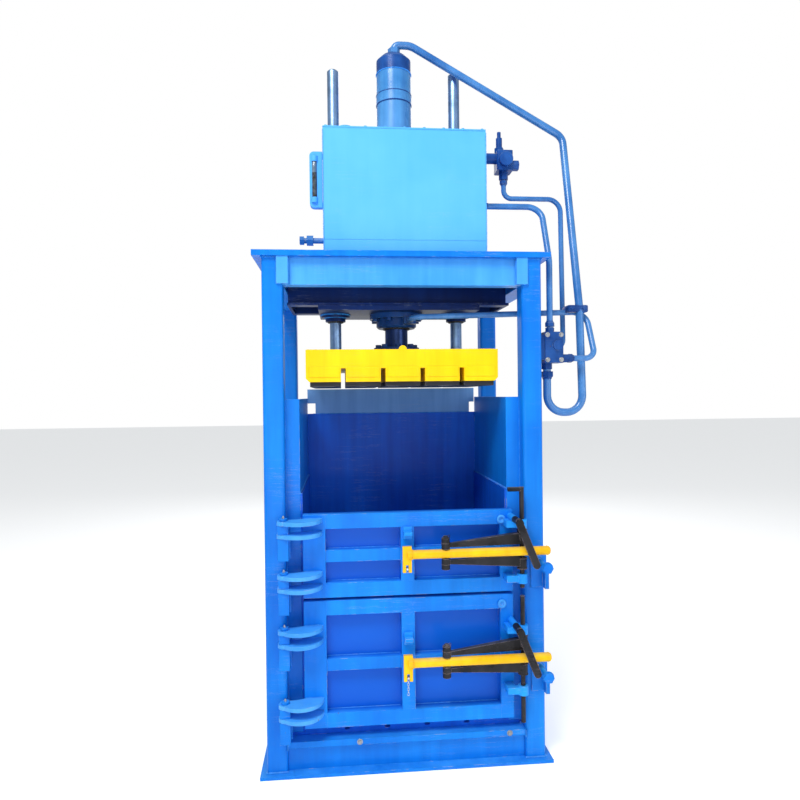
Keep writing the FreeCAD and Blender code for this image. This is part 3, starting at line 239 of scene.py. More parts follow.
# %% Group: how the paint lies
paint_lie, into, out = new_group(
    "paint_lie", {"Cloud Scale": 2.2, "Peel Scale": 160.0, "Run Scale": 26.0},
    {"Clouds": "Float", "Runs": "Float", "Height": "Float"})
coords = add_node(paint_lie, "ShaderNodeTexCoord").outputs["Object"]
clouds = noise(paint_lie, coords, into.outputs["Cloud Scale"], 4.0, 0.55)
peel = noise(paint_lie, coords, into.outputs["Peel Scale"], 2.0, 0.5)
tall = stretch(paint_lie, coords, (1.0, 1.0, 0.07))
runs = noise(paint_lie, tall, into.outputs["Run Scale"], 3.0, 0.6)
waves = noise(paint_lie, coords, 9.0, 2.0, 0.5)
height = maths(paint_lie, "MULTIPLY", peel, 0.16)
height = maths(paint_lie, "ADD", height, maths(paint_lie, "MULTIPLY", runs, 0.30))
height = maths(paint_lie, "ADD", height, maths(paint_lie, "MULTIPLY", waves, 0.9))
paint_lie.links.new(ramp(paint_lie, clouds, 0.32, 0.68), out.inputs["Clouds"])
paint_lie.links.new(ramp(paint_lie, runs, 0.35, 0.70), out.inputs["Runs"])
paint_lie.links.new(height, out.inputs["Height"])
print("group", paint_lie.name, "with", len(paint_lie.nodes), "nodes")

# %% Group: chips and scratches
chips, into, out = new_group(
    "chips", {"Chip Scale": 60.0, "Chip Amount": 0.2, "Scratch Scale": 30.0},
    {"Chips": "Float", "Scratches": "Float"})
coords = add_node(chips, "ShaderNodeTexCoord").outputs["Object"]
where = noise(chips, coords, 3.4, 4.0, 0.6)
bits = noise(chips, coords, into.outputs["Chip Scale"], 5.0, 0.6)
bits = maths(chips, "ADD", bits, maths(chips, "MULTIPLY", where, 0.35))
limit = maths(chips, "SUBTRACT", 1.02, maths(chips, "MULTIPLY", into.outputs["Chip Amount"], 0.5))
chipped = maths(chips, "MULTIPLY", maths(chips, "SUBTRACT", bits, limit), 40.0, clamp=True)
lean = add_node(chips, "ShaderNodeMapping")
lean.inputs["Rotation"].default_value = (0.4, 0.9, 0.6)
lean.inputs["Scale"].default_value = (0.05, 1.0, 1.0)
chips.links.new(coords, lean.inputs["Vector"])
hair = noise(chips, lean.outputs[0], into.outputs["Scratch Scale"], 8.0, 0.7)
hair = ramp(chips, maths(chips, "ABSOLUTE", maths(chips, "SUBTRACT", hair, 0.5)), 0.0, 0.006, 1.0, 0.0)
hair = maths(chips, "MULTIPLY", hair, ramp(chips, where, 0.5, 0.64))
chips.links.new(chipped, out.inputs["Chips"])
chips.links.new(hair, out.inputs["Scratches"])
print("group", chips.name, "with", len(chips.nodes), "nodes")

# %% Group: settled dust, also the mask for painted top light
dust_and_top_light, into, out = new_group("dust_and_top_light", {"Amount": 0.4, "Patch Scale": 7.0}, {"Mask": "Float"})
coords = add_node(dust_and_top_light, "ShaderNodeTexCoord").outputs["Object"]
split = add_node(dust_and_top_light, "ShaderNodeSeparateXYZ")
dust_and_top_light.links.new(add_node(dust_and_top_light, "ShaderNodeNewGeometry").outputs["Normal"], split.inputs[0])
lying = ramp(dust_and_top_light, split.outputs["Z"], 0.35, 0.95)
dust_and_top_light_film = ramp(dust_and_top_light, noise(dust_and_top_light, coords, into.outputs["Patch Scale"], 6.0, 0.65), 0.30, 0.75)
amount = maths(dust_and_top_light, "MULTIPLY", lying, into.outputs["Amount"])
dust_and_top_light.links.new(maths(dust_and_top_light, "MULTIPLY", amount, dust_and_top_light_film), out.inputs["Mask"])
print("group", dust_and_top_light.name, "with", len(dust_and_top_light.nodes), "nodes")

# %% [markdown]
# ## Paint
# Nearly everything is the same blue machine enamel, but not the same shade: the posts catch
# the daylight, the tank was sprayed with a paler batch, the chamber's deeper blue is painted
# shade inside it, the parts under the top plate are nearly black with painted shade, and the
# castings are dark and oily. One function mixes them, so a new shade is only a few numbers.
# The colours are scene-linear, so they look darker as numbers than on the machine.

# %% One recipe for all enamels
RUST = (0.16, 0.055, 0.018)
DUST = (0.42, 0.46, 0.50)
# Painted top light: a paler blue put on the upward faces of the bright blues, where the other paints get
# dust.
PAINTED_TOP_LIGHT = (0.060, 0.440, 1.000)


def enamel(name, base, pale, deep, wear=(0.40, 0.46, 0.55), gloss=0.30, edge=0.45, edge_radius=0.004,
           chip=0.18, dust_and_top_light_amount=0.25, cloud=2.2, relief=0.0012, rim=0.45,
           shine=0.16, top=DUST, shade=None, run=0.35):
    material = bpy.data.materials.new(name)
    material.use_nodes = True
    tree = material.node_tree
    shader = tree.nodes["Principled BSDF"]
    lie = use_group(tree, paint_lie, Cloud_Scale=cloud)
    edges = use_group(tree, edge_wear_and_highlight, Radius=edge_radius, Amount=edge)
    marks = use_group(tree, chips, Chip_Amount=chip)
    dust_and_top_light_film = use_group(tree, dust_and_top_light, Amount=dust_and_top_light_amount)

    colour = blend_colour(tree, lie.outputs["Clouds"], base, pale)
    streaks = maths(tree, "MULTIPLY", lie.outputs["Runs"], run)
    colour = blend_colour(tree, streaks, colour, deep)
    # Painted highlight: a pale colour along every edge.
    painted_edge_highlight = maths(tree, "MULTIPLY", edges.outputs["Line"], rim)
    colour = blend_colour(tree, painted_edge_highlight, colour, pale)
    colour = blend_colour(tree, maths(tree, "MULTIPLY", marks.outputs["Scratches"], 0.35), colour, wear)
    # Dust on upward faces; where top is the paler blue, this is painted top light.
    colour = blend_colour(tree, dust_and_top_light_film.outputs["Mask"], colour, top)
    if shade:
        lit, dark, shade_colour = shade
        place = add_node(tree, "ShaderNodeSeparateXYZ")
        tree.links.new(add_node(tree, "ShaderNodeTexCoord").outputs["Object"], place.inputs[0])
        colour = blend_colour(tree, ramp(tree, place.outputs["Y"], lit, dark), colour, shade_colour)
    bare = maths(tree, "MAXIMUM", edges.outputs["Mask"], marks.outputs["Chips"])
    colour = blend_colour(tree, marks.outputs["Chips"], colour, RUST)
    colour = blend_colour(tree, maths(tree, "MULTIPLY", edges.outputs["Mask"], 0.75), colour, wear)
    tree.links.new(colour, shader.inputs["Base Color"])

    rough = maths(tree, "MULTIPLY_ADD", lie.outputs["Clouds"], 0.12)
    rough.node.inputs[2].default_value = gloss
    rough = maths(tree, "ADD", rough, maths(tree, "MULTIPLY", dust_and_top_light_film.outputs["Mask"], 0.5))
    rough = maths(tree, "ADD", rough, maths(tree, "MULTIPLY", bare, 0.25), clamp=True)
    tree.links.new(rough, shader.inputs["Roughness"])
    tree.links.new(maths(tree, "MULTIPLY", edges.outputs["Mask"], 0.5), shader.inputs["Metallic"])
    shader.inputs["Specular IOR Level"].default_value = shine
    shader.inputs["Coat Weight"].default_value = 0.04
    shader.inputs["Coat Roughness"].default_value = 0.10

    pits = maths(tree, "MULTIPLY", marks.outputs["Chips"], 0.8)
    depth = maths(tree, "SUBTRACT", lie.outputs["Height"], pits)
    bump = add_node(tree, "ShaderNodeBump")
    bump.inputs["Strength"].default_value = 0.55
    bump.inputs["Distance"].default_value = relief
    tree.links.new(depth, bump.inputs["Height"])
    tree.links.new(edges.outputs["Normal"], bump.inputs["Normal"])
    tree.links.new(bump.outputs["Normal"], shader.inputs["Normal"])
    return material


# %% The shades
PAINTS = {
    "post_blue": enamel("post_blue", (0.001, 0.155, 0.660), (0.004, 0.240, 0.800), (0.001, 0.095, 0.520),
                        top=PAINTED_TOP_LIGHT, dust_and_top_light_amount=0.7),
    "beam_blue": enamel("beam_blue", (0.040, 0.290, 0.780), (0.090, 0.410, 0.900), (0.010, 0.190, 0.660),
                        top=PAINTED_TOP_LIGHT, dust_and_top_light_amount=0.8),
    "door_blue": enamel("door_blue", (0.001, 0.165, 0.720), (0.004, 0.260, 0.880), (0.001, 0.105, 0.540),
                        cloud=3.0, top=PAINTED_TOP_LIGHT, dust_and_top_light_amount=0.9, shade=(-0.352, -0.322, (0.001, 0.105, 0.600))),
    "lug_blue": enamel("lug_blue", (0.004, 0.240, 0.850), (0.020, 0.360, 0.960), (0.001, 0.140, 0.650),
                       top=PAINTED_TOP_LIGHT, dust_and_top_light_amount=0.8, shade=(-0.424, -0.428, (0.012, 0.012, 0.014))),
    # Painted shade: the chamber's deeper blue stands in for the shade inside the chamber.
    "chamber_shade_blue": enamel("chamber_shade_blue", (0.003, 0.082, 0.600), (0.005, 0.140, 0.740),
                           (0.002, 0.036, 0.340), gloss=0.36, dust_and_top_light_amount=0.12, chip=0.08, shine=0.12),
    "tank_blue": enamel("tank_blue", (0.070, 0.370, 0.900), (0.120, 0.470, 0.970), (0.045, 0.300, 0.820),
                        edge=0.30, chip=0.03, cloud=1.6, relief=0.0005, shine=0.15, run=0.12),
    "guard_blue": enamel("guard_blue", (0.120, 0.300, 0.660), (0.170, 0.370, 0.740),
                         (0.070, 0.200, 0.500), gloss=0.50, chip=0.05, shine=0.10),
    # Painted shade: nearly black, for the parts in shade under the top plate.
    "under_shade_blue": enamel("under_shade_blue", (0.001, 0.014, 0.100), (0.003, 0.034, 0.190),
                         (0.001, 0.006, 0.050), gloss=0.35, shine=0.15),
    "barrel_blue": enamel("barrel_blue", (0.030, 0.190, 0.480), (0.090, 0.330, 0.680),
                          (0.001, 0.035, 0.230), gloss=0.20, cloud=6.0, shine=0.45),
    "cast_blue": enamel("cast_blue", (0.004, 0.040, 0.200), (0.016, 0.090, 0.340), (0.002, 0.018, 0.090),
                        wear=(0.20, 0.27, 0.38), gloss=0.26, relief=0.003, cloud=14.0, edge_radius=0.003),
    "pipe_blue": enamel("pipe_blue", (0.020, 0.130, 0.400), (0.070, 0.250, 0.580), (0.008, 0.065, 0.240),
                        gloss=0.18, cloud=5.0, edge_radius=0.002, shine=0.50),
    "press_yellow": enamel("press_yellow", (0.900, 0.570, 0.001), (0.980, 0.680, 0.004),
                           (0.780, 0.380, 0.001), wear=(0.42, 0.34, 0.16), gloss=0.30, edge=0.38, chip=0.10,
                           cloud=4.0, edge_radius=0.003),
    "LEVER_Yellow": enamel("LEVER_Yellow", (0.880, 0.480, 0.002), (0.980, 0.640, 0.010),
                           (0.700, 0.240, 0.002), wear=(0.30, 0.20, 0.12), gloss=0.28, edge=0.40, chip=0.16,
                           cloud=7.0, edge_radius=0.002),
    "latch_black": enamel("latch_black", (0.010, 0.010, 0.012), (0.030, 0.030, 0.036),
                          (0.004, 0.004, 0.005), wear=(0.46, 0.36, 0.36), gloss=0.24, edge=0.56, chip=0.10,
                          cloud=12.0, edge_radius=0.0025),
    "sole_black": enamel("sole_black", (0.012, 0.012, 0.016), (0.035, 0.036, 0.045), (0.005, 0.005, 0.006),
                         wear=(0.30, 0.30, 0.32), gloss=0.40, edge=0.50)}
print(len(PAINTS), "paints:", ", ".join(PAINTS))

# %% [markdown]
# ## Bare metal, glass and rubber
# A ram is ground and oiled, a metal mirror with fine rings around it; its dark navy colour is
# painted shade and painted reflection of the dark blue machine round it. The guide rods' pale
# blue is painted reflection of the room and the machine. Bolts are plated and dull. The oil
# gauge is a thick clear tube, with dark oil up to two thirds.

# %% Ground steel


def steel(name, base, gloss, ring_scale, ring_depth):
    material = bpy.data.materials.new(name)
    material.use_nodes = True
    tree = material.node_tree
    shader = tree.nodes["Principled BSDF"]
    coords = add_node(tree, "ShaderNodeTexCoord").outputs["Object"]
    rings = noise(tree, stretch(tree, coords, (2.0, 2.0, ring_scale)), 1.0, 4.0, 0.6)
    smears = noise(tree, coords, 11.0, 5.0, 0.6)
    edges = use_group(tree, edge_wear_and_highlight, Radius=0.002, Amount=0.4)
    darker = tuple(v * 0.45 for v in base)
    colour = blend_colour(tree, ramp(tree, smears, 0.35, 0.70), base, darker)
    # Painted highlight: a pale grey along every edge of the steel.
    painted_edge_highlight = maths(tree, "MULTIPLY", edges.outputs["Line"], 0.4)
    colour = blend_colour(tree, painted_edge_highlight, colour, (0.7, 0.72, 0.75))
    tree.links.new(colour, shader.inputs["Base Color"])
    tree.links.new(ramp(tree, smears, 0.2, 0.8, gloss, gloss + 0.2), shader.inputs["Roughness"])
    shader.inputs["Metallic"].default_value = 1.0
    bump = add_node(tree, "ShaderNodeBump")
    bump.inputs["Strength"].default_value = 0.4
    bump.inputs["Distance"].default_value = ring_depth
    tree.links.new(rings, bump.inputs["Height"])
    tree.links.new(edges.outputs["Normal"], bump.inputs["Normal"])
    tree.links.new(bump.outputs["Normal"], shader.inputs["Normal"])
    return material


# Painted shade and reflection: the ram's dark navy stands in for the shaded blue machine mirrored in it.
PAINTS["ram_steel_painted_shade"] = steel("ram_steel_painted_shade", (0.035, 0.065, 0.190), 0.20, 900.0, 0.00012)
# Painted reflection: the guide rods' pale blue stands in for the room and the blue machine mirrored in them.
PAINTS["guide_steel_painted_reflection"] = steel("guide_steel_painted_reflection", (0.330, 0.530, 0.860), 0.28, 700.0, 0.0002)
PAINTS["bright_zinc"] = steel("bright_zinc", (0.72, 0.74, 0.76), 0.30, 200.0, 0.0001)
PAINTS["bolt_steel"] = steel("bolt_steel", (0.42, 0.43, 0.44), 0.34, 200.0, 0.0002)
PAINTS["weld_steel"] = enamel("weld_blue", (0.010, 0.200, 0.720), (0.060, 0.380, 0.930),
                              (0.003, 0.090, 0.470), gloss=0.30, chip=0.12, cloud=30.0, edge_radius=0.0015)

# %% Gauge glass and rubber
gauge_glass = bpy.data.materials.new("gauge_glass")
gauge_glass.use_nodes = True
glass_tree = gauge_glass.node_tree
glass = glass_tree.nodes["Principled BSDF"]
glass_place = add_node(glass_tree, "ShaderNodeTexCoord").outputs["Object"]
glass_split = add_node(glass_tree, "ShaderNodeSeparateXYZ")
glass_tree.links.new(glass_place, glass_split.inputs[0])
gauge_low, gauge_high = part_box("level_gauge")
oil_line = gauge_low.z + 0.62 * (gauge_high.z - gauge_low.z)
oil_mask = ramp(glass_tree, glass_split.outputs["Z"], oil_line, oil_line + 0.002)
grime = ramp(glass_tree, noise(glass_tree, glass_place, 60.0, 4.0, 0.6), 0.4, 0.7, 0.0, 0.35)
glass_colour = blend_colour(glass_tree, oil_mask, (0.030, 0.022, 0.012), (0.10, 0.15, 0.20))
glass_colour = blend_colour(glass_tree, grime, glass_colour, (0.22, 0.28, 0.34))
glass_tree.links.new(glass_colour, glass.inputs["Base Color"])
glass_tree.links.new(ramp(glass_tree, grime, 0.0, 0.35, 0.05, 0.25), glass.inputs["Roughness"])
glass.inputs["Coat Weight"].default_value = 0.6
PAINTS["gauge_glass"] = gauge_glass

rubber = bpy.data.materials.new("rubber")
rubber.use_nodes = True
rubber_tree = rubber.node_tree
rubber_shader = rubber_tree.nodes["Principled BSDF"]
rubber_place = add_node(rubber_tree, "ShaderNodeTexCoord").outputs["Object"]
smudge = ramp(rubber_tree, noise(rubber_tree, rubber_place, 90.0, 4.0, 0.6), 0.35, 0.65)
rubber_tree.links.new(blend_colour(rubber_tree, smudge, (0.008, 0.008, 0.009), (0.035, 0.034, 0.034)),
                      rubber_shader.inputs["Base Color"])
rubber_tree.links.new(ramp(rubber_tree, smudge, 0.0, 1.0, 0.45, 0.65), rubber_shader.inputs["Roughness"])
PAINTS["rubber"] = rubber
print("oil stands at", round(oil_line, 3), "m")

# %% Paint the construction
COATS = {
    "post_blue": ("front_left_post", "front_right_post", "rear_left_post", "rear_right_post",
                  "left_base_rail", "right_base_rail", "front_sill", "rear_sill", "floor_beam",
                  "top_plate", "left_top_rail", "right_top_rail", "latch_keepers", "hinge_blocks",
                  "left_side_wall", "right_side_wall"),
    "beam_blue": ("front_top_beam", "rear_top_beam", "upper_hinge_arms", "lower_hinge_arms"),
    "door_blue": ("upper_door", "lower_door"),
    "lug_blue": ("upper_latch_lugs", "lower_latch_lugs"),
    "chamber_shade_blue": ("chamber_floor", "back_wall", "chamber_liners"),
    "guard_blue": ("back_guard_plate",),
    "tank_blue": ("oil_tank", "tank_lid", "level_gauge"),
    "under_shade_blue": ("cylinder_beams", "cylinder_mount_plate", "left_guide_sleeve", "right_guide_sleeve"),
    "barrel_blue": ("cylinder_barrel",),
    "cast_blue": ("cylinder_cap", "cylinder_gland", "gland_bolts", "pump_motor", "oil_pump",
                  "relief_valve", "control_valve", "rod_flange"),
    "pipe_blue": ("cylinder_top_pipe", "rod_side_pipe", "pump_pipe", "return_pipe", "drain_valve"),
    "press_yellow": ("platen",),
    "LEVER_Yellow": ("upper_handle", "lower_handle"),
    "latch_black": ("upper_latch_shaft", "lower_latch_shaft", "upper_latch_bar", "lower_latch_bar"),
    "sole_black": ("platen_sole",),
    "ram_steel_painted_shade": ("piston_rod",),
    "guide_steel_painted_reflection": ("left_guide_rod", "right_guide_rod")}

for paint_name, members in COATS.items():
    for member in members:
        node_mesh = nodes[member].data
        node_mesh.materials.clear()
        node_mesh.materials.append(PAINTS[paint_name])
painted = sum(len(m) for m in COATS.values())
print("painted", painted, "of", len(nodes), "nodes")
assert painted == len(nodes)

# %% [markdown]
# ## Shaping by hand
# The next cells hold the few moves that every added piece needs: empty the selection, pick
# faces by their place or direction, put the finished piece's place into its mesh, and copy a
# finished pattern to where the machine repeats it. A piece then gets its paint and the body
# that it moves with.

# %% Modelling helpers
def begin():
    if bpy.context.mode != "OBJECT":
        bpy.ops.object.mode_set(mode="OBJECT")
    bpy.ops.object.select_all(action="DESELECT")


def pick(piece, test):
    """Edit mode, with only the faces selected whose centre and normal pass the test."""
    bpy.ops.object.mode_set(mode="EDIT")
    bpy.ops.mesh.select_mode(type="FACE")
    bpy.ops.mesh.select_all(action="DESELECT")
    bpy.ops.object.mode_set(mode="OBJECT")
    for face in piece.data.polygons:
        face.select = test(face.center, face.normal)
    bpy.ops.object.mode_set(mode="EDIT")


def settle(name):
    if bpy.context.mode != "OBJECT":
        bpy.ops.object.mode_set(mode="OBJECT")
    piece = bpy.context.object
    bpy.ops.object.transform_apply(location=True, rotation=True, scale=True)
    piece.name = name
    return piece


def drum(sides, radius, depth, place, turn=(0, 0, 0)):
    begin()
    bpy.ops.mesh.primitive_cylinder_add(vertices=sides, radius=radius, depth=depth,
                                        location=place, rotation=turn)
    return settle("drum")


def hoop(radius, wire, place, turn=(0, 0, 0), around=48, across=8):
    begin()
    bpy.ops.mesh.primitive_torus_add(major_radius=radius, minor_radius=wire, major_segments=around,
                                     minor_segments=across, location=place, rotation=turn)
    return settle("hoop")


def soften(piece, width, segments):
    rounding = piece.modifiers.new("rounding", "BEVEL")
    rounding.width = width
    rounding.segments = segments
    bpy.ops.object.modifier_apply(modifier="rounding")


def copy_to(pattern, place, axis=(0, 0, 1), turn=0.0, size=1.0):
    """A copy with its own mesh, its +Z turned to axis and its origin moved to place."""
    made = pattern.copy()
    made.data = pattern.data.copy()
    bpy.context.collection.objects.link(made)
    aim = Vector((0, 0, 1)).rotation_difference(Vector(axis)).to_matrix().to_4x4()
    turned = Matrix.Rotation(turn, 4, "Z") @ Matrix.Scale(size, 4)
    made.data.transform(Matrix.Translation(place) @ aim @ turned)
    return made


def join(pieces, name):
    begin()
    for piece in pieces:
        piece.select_set(True)
    bpy.context.view_layer.objects.active = pieces[0]
    if len(pieces) > 1:
        bpy.ops.object.join()
    made = bpy.context.object
    made.name = name
    return made


def dress(piece, paint, body, smooth=35.0):
    begin()
    piece.select_set(True)
    bpy.context.view_layer.objects.active = piece
    bpy.ops.object.shade_smooth_by_angle(angle=math.radians(smooth))
    piece.data.materials.clear()
    piece.data.materials.append(PAINTS[paint])
    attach(piece, body)
    print(piece.name, "has", len(piece.data.polygons), "faces")
    return piece


def discard(*patterns):
    for pattern in patterns:
        bpy.data.objects.remove(pattern)


# %% [markdown]
# ## Welds
# The frame is held together by hand-laid fillet welds. A weld is a row of overlapping
# ripples, so one small ripple is repeated along a straight run with an Array modifier, or
# spun round a shaft. Their corners are then moved a little at random, since no hand is even.

# %% Weld helpers
BEAD_WIDTH = 0.008
RIPPLE_STEP = 0.0048
RIPPLE_JITTER = 0.0005
WIDE_BEAD, SLIM_BEAD, SEAM_BEAD, STILE_BEAD = 0.010, 0.006, 0.004, 0.0035
FOOT_RISE, CAP_DROP = 0.002, 0.003  # foot and top beads from the ends of a post


def ripple_at(place, along, width):
    begin()
    bpy.ops.mesh.primitive_ico_sphere_add(subdivisions=1, radius=width / 2, location=place)
    ripple = bpy.context.object
    ripple.rotation_euler = Vector(along).to_track_quat("Z", "Y").to_euler()
    ripple.scale = (1.0, 1.0, 0.72)
    bpy.ops.object.transform_apply(location=True, rotation=True, scale=True)
    return ripple


def bead(start, end, width=BEAD_WIDTH):
    start, end = Vector(start), Vector(end)
    along = (end - start).normalized()
    ripple = ripple_at(start, along, width)
    run = ripple.modifiers.new("run", "ARRAY")
    run.count = max(2, int((end - start).length / RIPPLE_STEP))
    run.use_relative_offset = False
    run.use_constant_offset = True
    run.constant_offset_displace = along * RIPPLE_STEP
    bpy.ops.object.modifier_apply(modifier="run")
    return ripple


def bead_ring(centre, radius, width=BEAD_WIDTH, axis=(0, 0, 1)):
    centre = Vector(centre)
    out = Vector(axis).orthogonal().normalized()
    ripple = ripple_at(centre + out * radius, Vector(axis).cross(out), width)
    bpy.ops.object.mode_set(mode="EDIT")
    bpy.ops.mesh.select_all(action="SELECT")
    bpy.ops.mesh.spin(steps=round(2 * math.pi * radius / RIPPLE_STEP), dupli=True,
                      angle=2 * math.pi, center=centre, axis=axis)
    bpy.ops.object.mode_set(mode="OBJECT")
    return ripple


def finish_welds(beads, name, body, paint="weld_steel"):
    welds = join(beads, name)
    for corner in welds.data.vertices:
        corner.co += Vector([chance.uniform(-RIPPLE_JITTER, RIPPLE_JITTER) for _ in range(3)])
    return dress(welds, paint, body, smooth=80.0)


# %% Welds of the press frame
beads = []
post_low, post_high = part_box("front_left_post")
beam_low, beam_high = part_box("front_top_beam")
plate_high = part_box("top_plate")[1]
sill_low, sill_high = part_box("front_sill")
wall_low, wall_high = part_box("left_side_wall")
post_width = post_high.x - post_low.x
inner_x = -post_high.x
outer_x = -post_low.x
CLEAT_IN = inner_x - 0.022
CLEAT_OUT = inner_x + 0.022
for side in (-1, 1):
    for x in (CLEAT_IN, CLEAT_OUT):
        beads.append(bead((side * x, beam_low.y + 0.010, beam_low.z + 0.004),
                          (side * x, beam_low.y + 0.010, beam_high.z - 0.004), WIDE_BEAD))
    beads.append(bead((side * inner_x, post_low.y, post_high.z - CAP_DROP),
                      (side * outer_x, post_low.y, post_high.z - CAP_DROP)))
    beads.append(bead((side * outer_x, post_low.y, post_high.z - CAP_DROP),
                      (side * outer_x, post_low.y + post_width, post_high.z - CAP_DROP)))
    beads.append(bead((side * inner_x, post_low.y, post_low.z + FOOT_RISE),
                      (side * outer_x, post_low.y, post_low.z + FOOT_RISE), WIDE_BEAD))
    beads.append(bead((side * outer_x, post_low.y, post_low.z + FOOT_RISE),
                      (side * outer_x, post_low.y + post_width, post_low.z + FOOT_RISE), WIDE_BEAD))
    beads.append(bead((side * inner_x, sill_low.y + 0.024, sill_high.z - 0.030),
                      (side * inner_x, sill_low.y + 0.024, sill_high.z)))
    beads.append(bead((side * inner_x, wall_low.y, sill_high.z + 0.03),
                      (side * inner_x, wall_low.y, wall_high.z), SLIM_BEAD))
beads.append(bead((-inner_x, beam_low.y + 0.012, beam_high.z - 0.002),
                  (inner_x, beam_low.y + 0.012, beam_high.z - 0.002), SLIM_BEAD))

rear_low, rear_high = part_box("rear_left_post")
for side in (-1, 1):
    for z in (rear_low.z + FOOT_RISE, rear_high.z - CAP_DROP):
        beads.append(bead((side * inner_x, rear_high.y, z), (side * outer_x, rear_high.y, z)))
        beads.append(bead((side * outer_x, rear_low.y, z), (side * outer_x, rear_high.y, z)))
print(len(beads), "beads on the posts, beams and sill")

# %% Welds of the chamber, hinges and keepers
GUARD_INSET = 0.03
guard_low, guard_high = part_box("back_guard_plate")
beads.append(bead((guard_low.x + GUARD_INSET, guard_low.y, guard_low.z),
                  (guard_high.x - GUARD_INSET, guard_low.y, guard_low.z), SLIM_BEAD))
liner_low, liner_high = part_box("chamber_liners")
for side in (-1, 1):
    beads.append(bead((side * -liner_low.x, liner_low.y, liner_high.z),
                      (side * -liner_low.x, liner_high.y, liner_high.z), 0.007))
HINGE_TOPS = (0.982, 0.779, 0.571, 0.292)
BLOCK_HALF = 0.020
BLOCK_TOP_DROP, BLOCK_BOTTOM_DROP = 0.064, 0.148
hinge_low, hinge_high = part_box("hinge_blocks")
hinge_x = (hinge_low.x + hinge_high.x) / 2
for top in HINGE_TOPS:
    for edge in (-BLOCK_HALF, BLOCK_HALF):
        beads.append(bead((hinge_x + edge, post_low.y, top - BLOCK_BOTTOM_DROP),
                          (hinge_x + edge, post_low.y, top - BLOCK_TOP_DROP)))
KEEPER_PLATE_X = inner_x + 0.024
KEEPER_PLATES = ((0.690, 0.828), (0.280, 0.418))
for plate_z in KEEPER_PLATES:
    for z in plate_z:
        beads.append(bead((KEEPER_PLATE_X, post_low.y - 0.002, z), (outer_x, post_low.y - 0.002, z), 0.007))
    beads.append(bead((KEEPER_PLATE_X, post_low.y - 0.002, plate_z[0]),
                      (KEEPER_PLATE_X, post_low.y - 0.002, plate_z[1]), 0.007))
print(len(beads), "beads with the chamber, hinges and keepers")

# %% Welds round the cylinder and guides
mount_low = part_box("cylinder_mount_plate")[0]
for sleeve in ("left_guide_sleeve", "right_guide_sleeve"):
    sleeve_low, sleeve_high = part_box(sleeve)
    sleeve_x = (sleeve_low.x + sleeve_high.x) / 2
    beads.append(bead_ring((sleeve_x, 0.0, mount_low.z - 0.014), 0.046))
    beads.append(bead_ring((sleeve_x, 0.0, mount_low.z - 0.002), (sleeve_high.x - sleeve_low.x) / 2 + 0.002))
barrel_low, barrel_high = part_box("cylinder_barrel")
barrel_r = (barrel_high.x - barrel_low.x) / 2 - 0.002
beads.append(bead_ring((0.0, 0.0, plate_high.z + 0.001), barrel_r + 0.002, 0.011))
beads.append(bead_ring((0.0, 0.0, barrel_high.z), barrel_r, 0.007))
finish_welds(beads, "frame_welds", "press_frame")

# %% Welds of the oil tank
tank_low, tank_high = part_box("oil_tank")
lid_low, lid_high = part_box("tank_lid")
SEAM_RISE = 0.060
seam_z = tank_low.z + SEAM_RISE
beads = [bead((tank_low.x, tank_low.y, seam_z), (tank_high.x, tank_low.y, seam_z), 0.004)]
for x in (tank_low.x, tank_high.x):
    for y in (tank_low.y, tank_high.y):
        beads.append(bead((x, y, tank_low.z), (x, y, tank_high.z), SLIM_BEAD))
        beads.append(bead((tank_low.x, y, tank_low.z + 0.002), (tank_high.x, y, tank_low.z + 0.002), 0.009))
        beads.append(bead((tank_low.x, y, tank_high.z), (tank_high.x, y, tank_high.z), SEAM_BEAD))
    beads.append(bead((x, tank_low.y, tank_low.z + 0.002), (x, tank_high.y, tank_low.z + 0.002), 0.009))
finish_welds(beads, "tank_welds", "press_frame", "tank_blue")

# %% Welds of the two doors
HINGE_STILE, LATCH_STILE, RAIL = 0.086, 0.051, 0.056
MULLION_HALF, MULLION_X = 0.026, 0.003
MID_RAIL_HALF = 0.023
MID_RAILS = {"upper": 0.833, "lower": 0.413}
for leaf, mid in MID_RAILS.items():
    door_low, door_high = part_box(leaf + "_door")
    front = door_low.y + 0.0005
    rail_y = front + 0.004
    beads = []
    stile_x = (door_low.x + HINGE_STILE, door_high.x - LATCH_STILE)
    for x in stile_x:
        for z in (door_low.z, door_high.z - RAIL):
            beads.append(bead((x, front, z), (x, front, z + RAIL), STILE_BEAD))
        beads.append(bead((x, rail_y, mid - MID_RAIL_HALF), (x, rail_y, mid + MID_RAIL_HALF), SLIM_BEAD))
    for z in (door_low.z + RAIL, door_high.z - RAIL):
        beads.append(bead((MULLION_X - MULLION_HALF, front, z),
                          (MULLION_X + MULLION_HALF, front, z), STILE_BEAD))
    for edge in (-MULLION_HALF, MULLION_HALF):
        x = MULLION_X + edge
        beads.append(bead((x, rail_y, mid - MID_RAIL_HALF), (x, rail_y, mid + MID_RAIL_HALF), 0.005))
    skin_y = door_high.y - 0.006
    for x0, x1 in ((stile_x[0], MULLION_X - MULLION_HALF), (MULLION_X + MULLION_HALF, stile_x[1])):
        for z in (door_low.z + RAIL, mid + MID_RAIL_HALF):
            beads.append(bead((x0, skin_y, z), (x1, skin_y, z), 0.007))
    for top in HINGE_TOPS[:2] if leaf == "upper" else HINGE_TOPS[2:]:
        for z in (top, top - 0.015, top - 0.049, top - 0.064):
            beads.append(bead((door_low.x + 0.008, front, z), (door_low.x + 0.074, front, z), SLIM_BEAD))
    finish_welds(beads, leaf + "_door_welds", leaf + "_door_leaf")

# %% [markdown]
# ## Bolts and screws
# The bolts are plain hex heads on washers, oversprayed with the blue. One head is shaped from
# a six-sided cylinder: its top is inset and raised, which gives the chamfer that every
# real bolt head has. The washer is a second disc in the same mesh with a rounded rim.

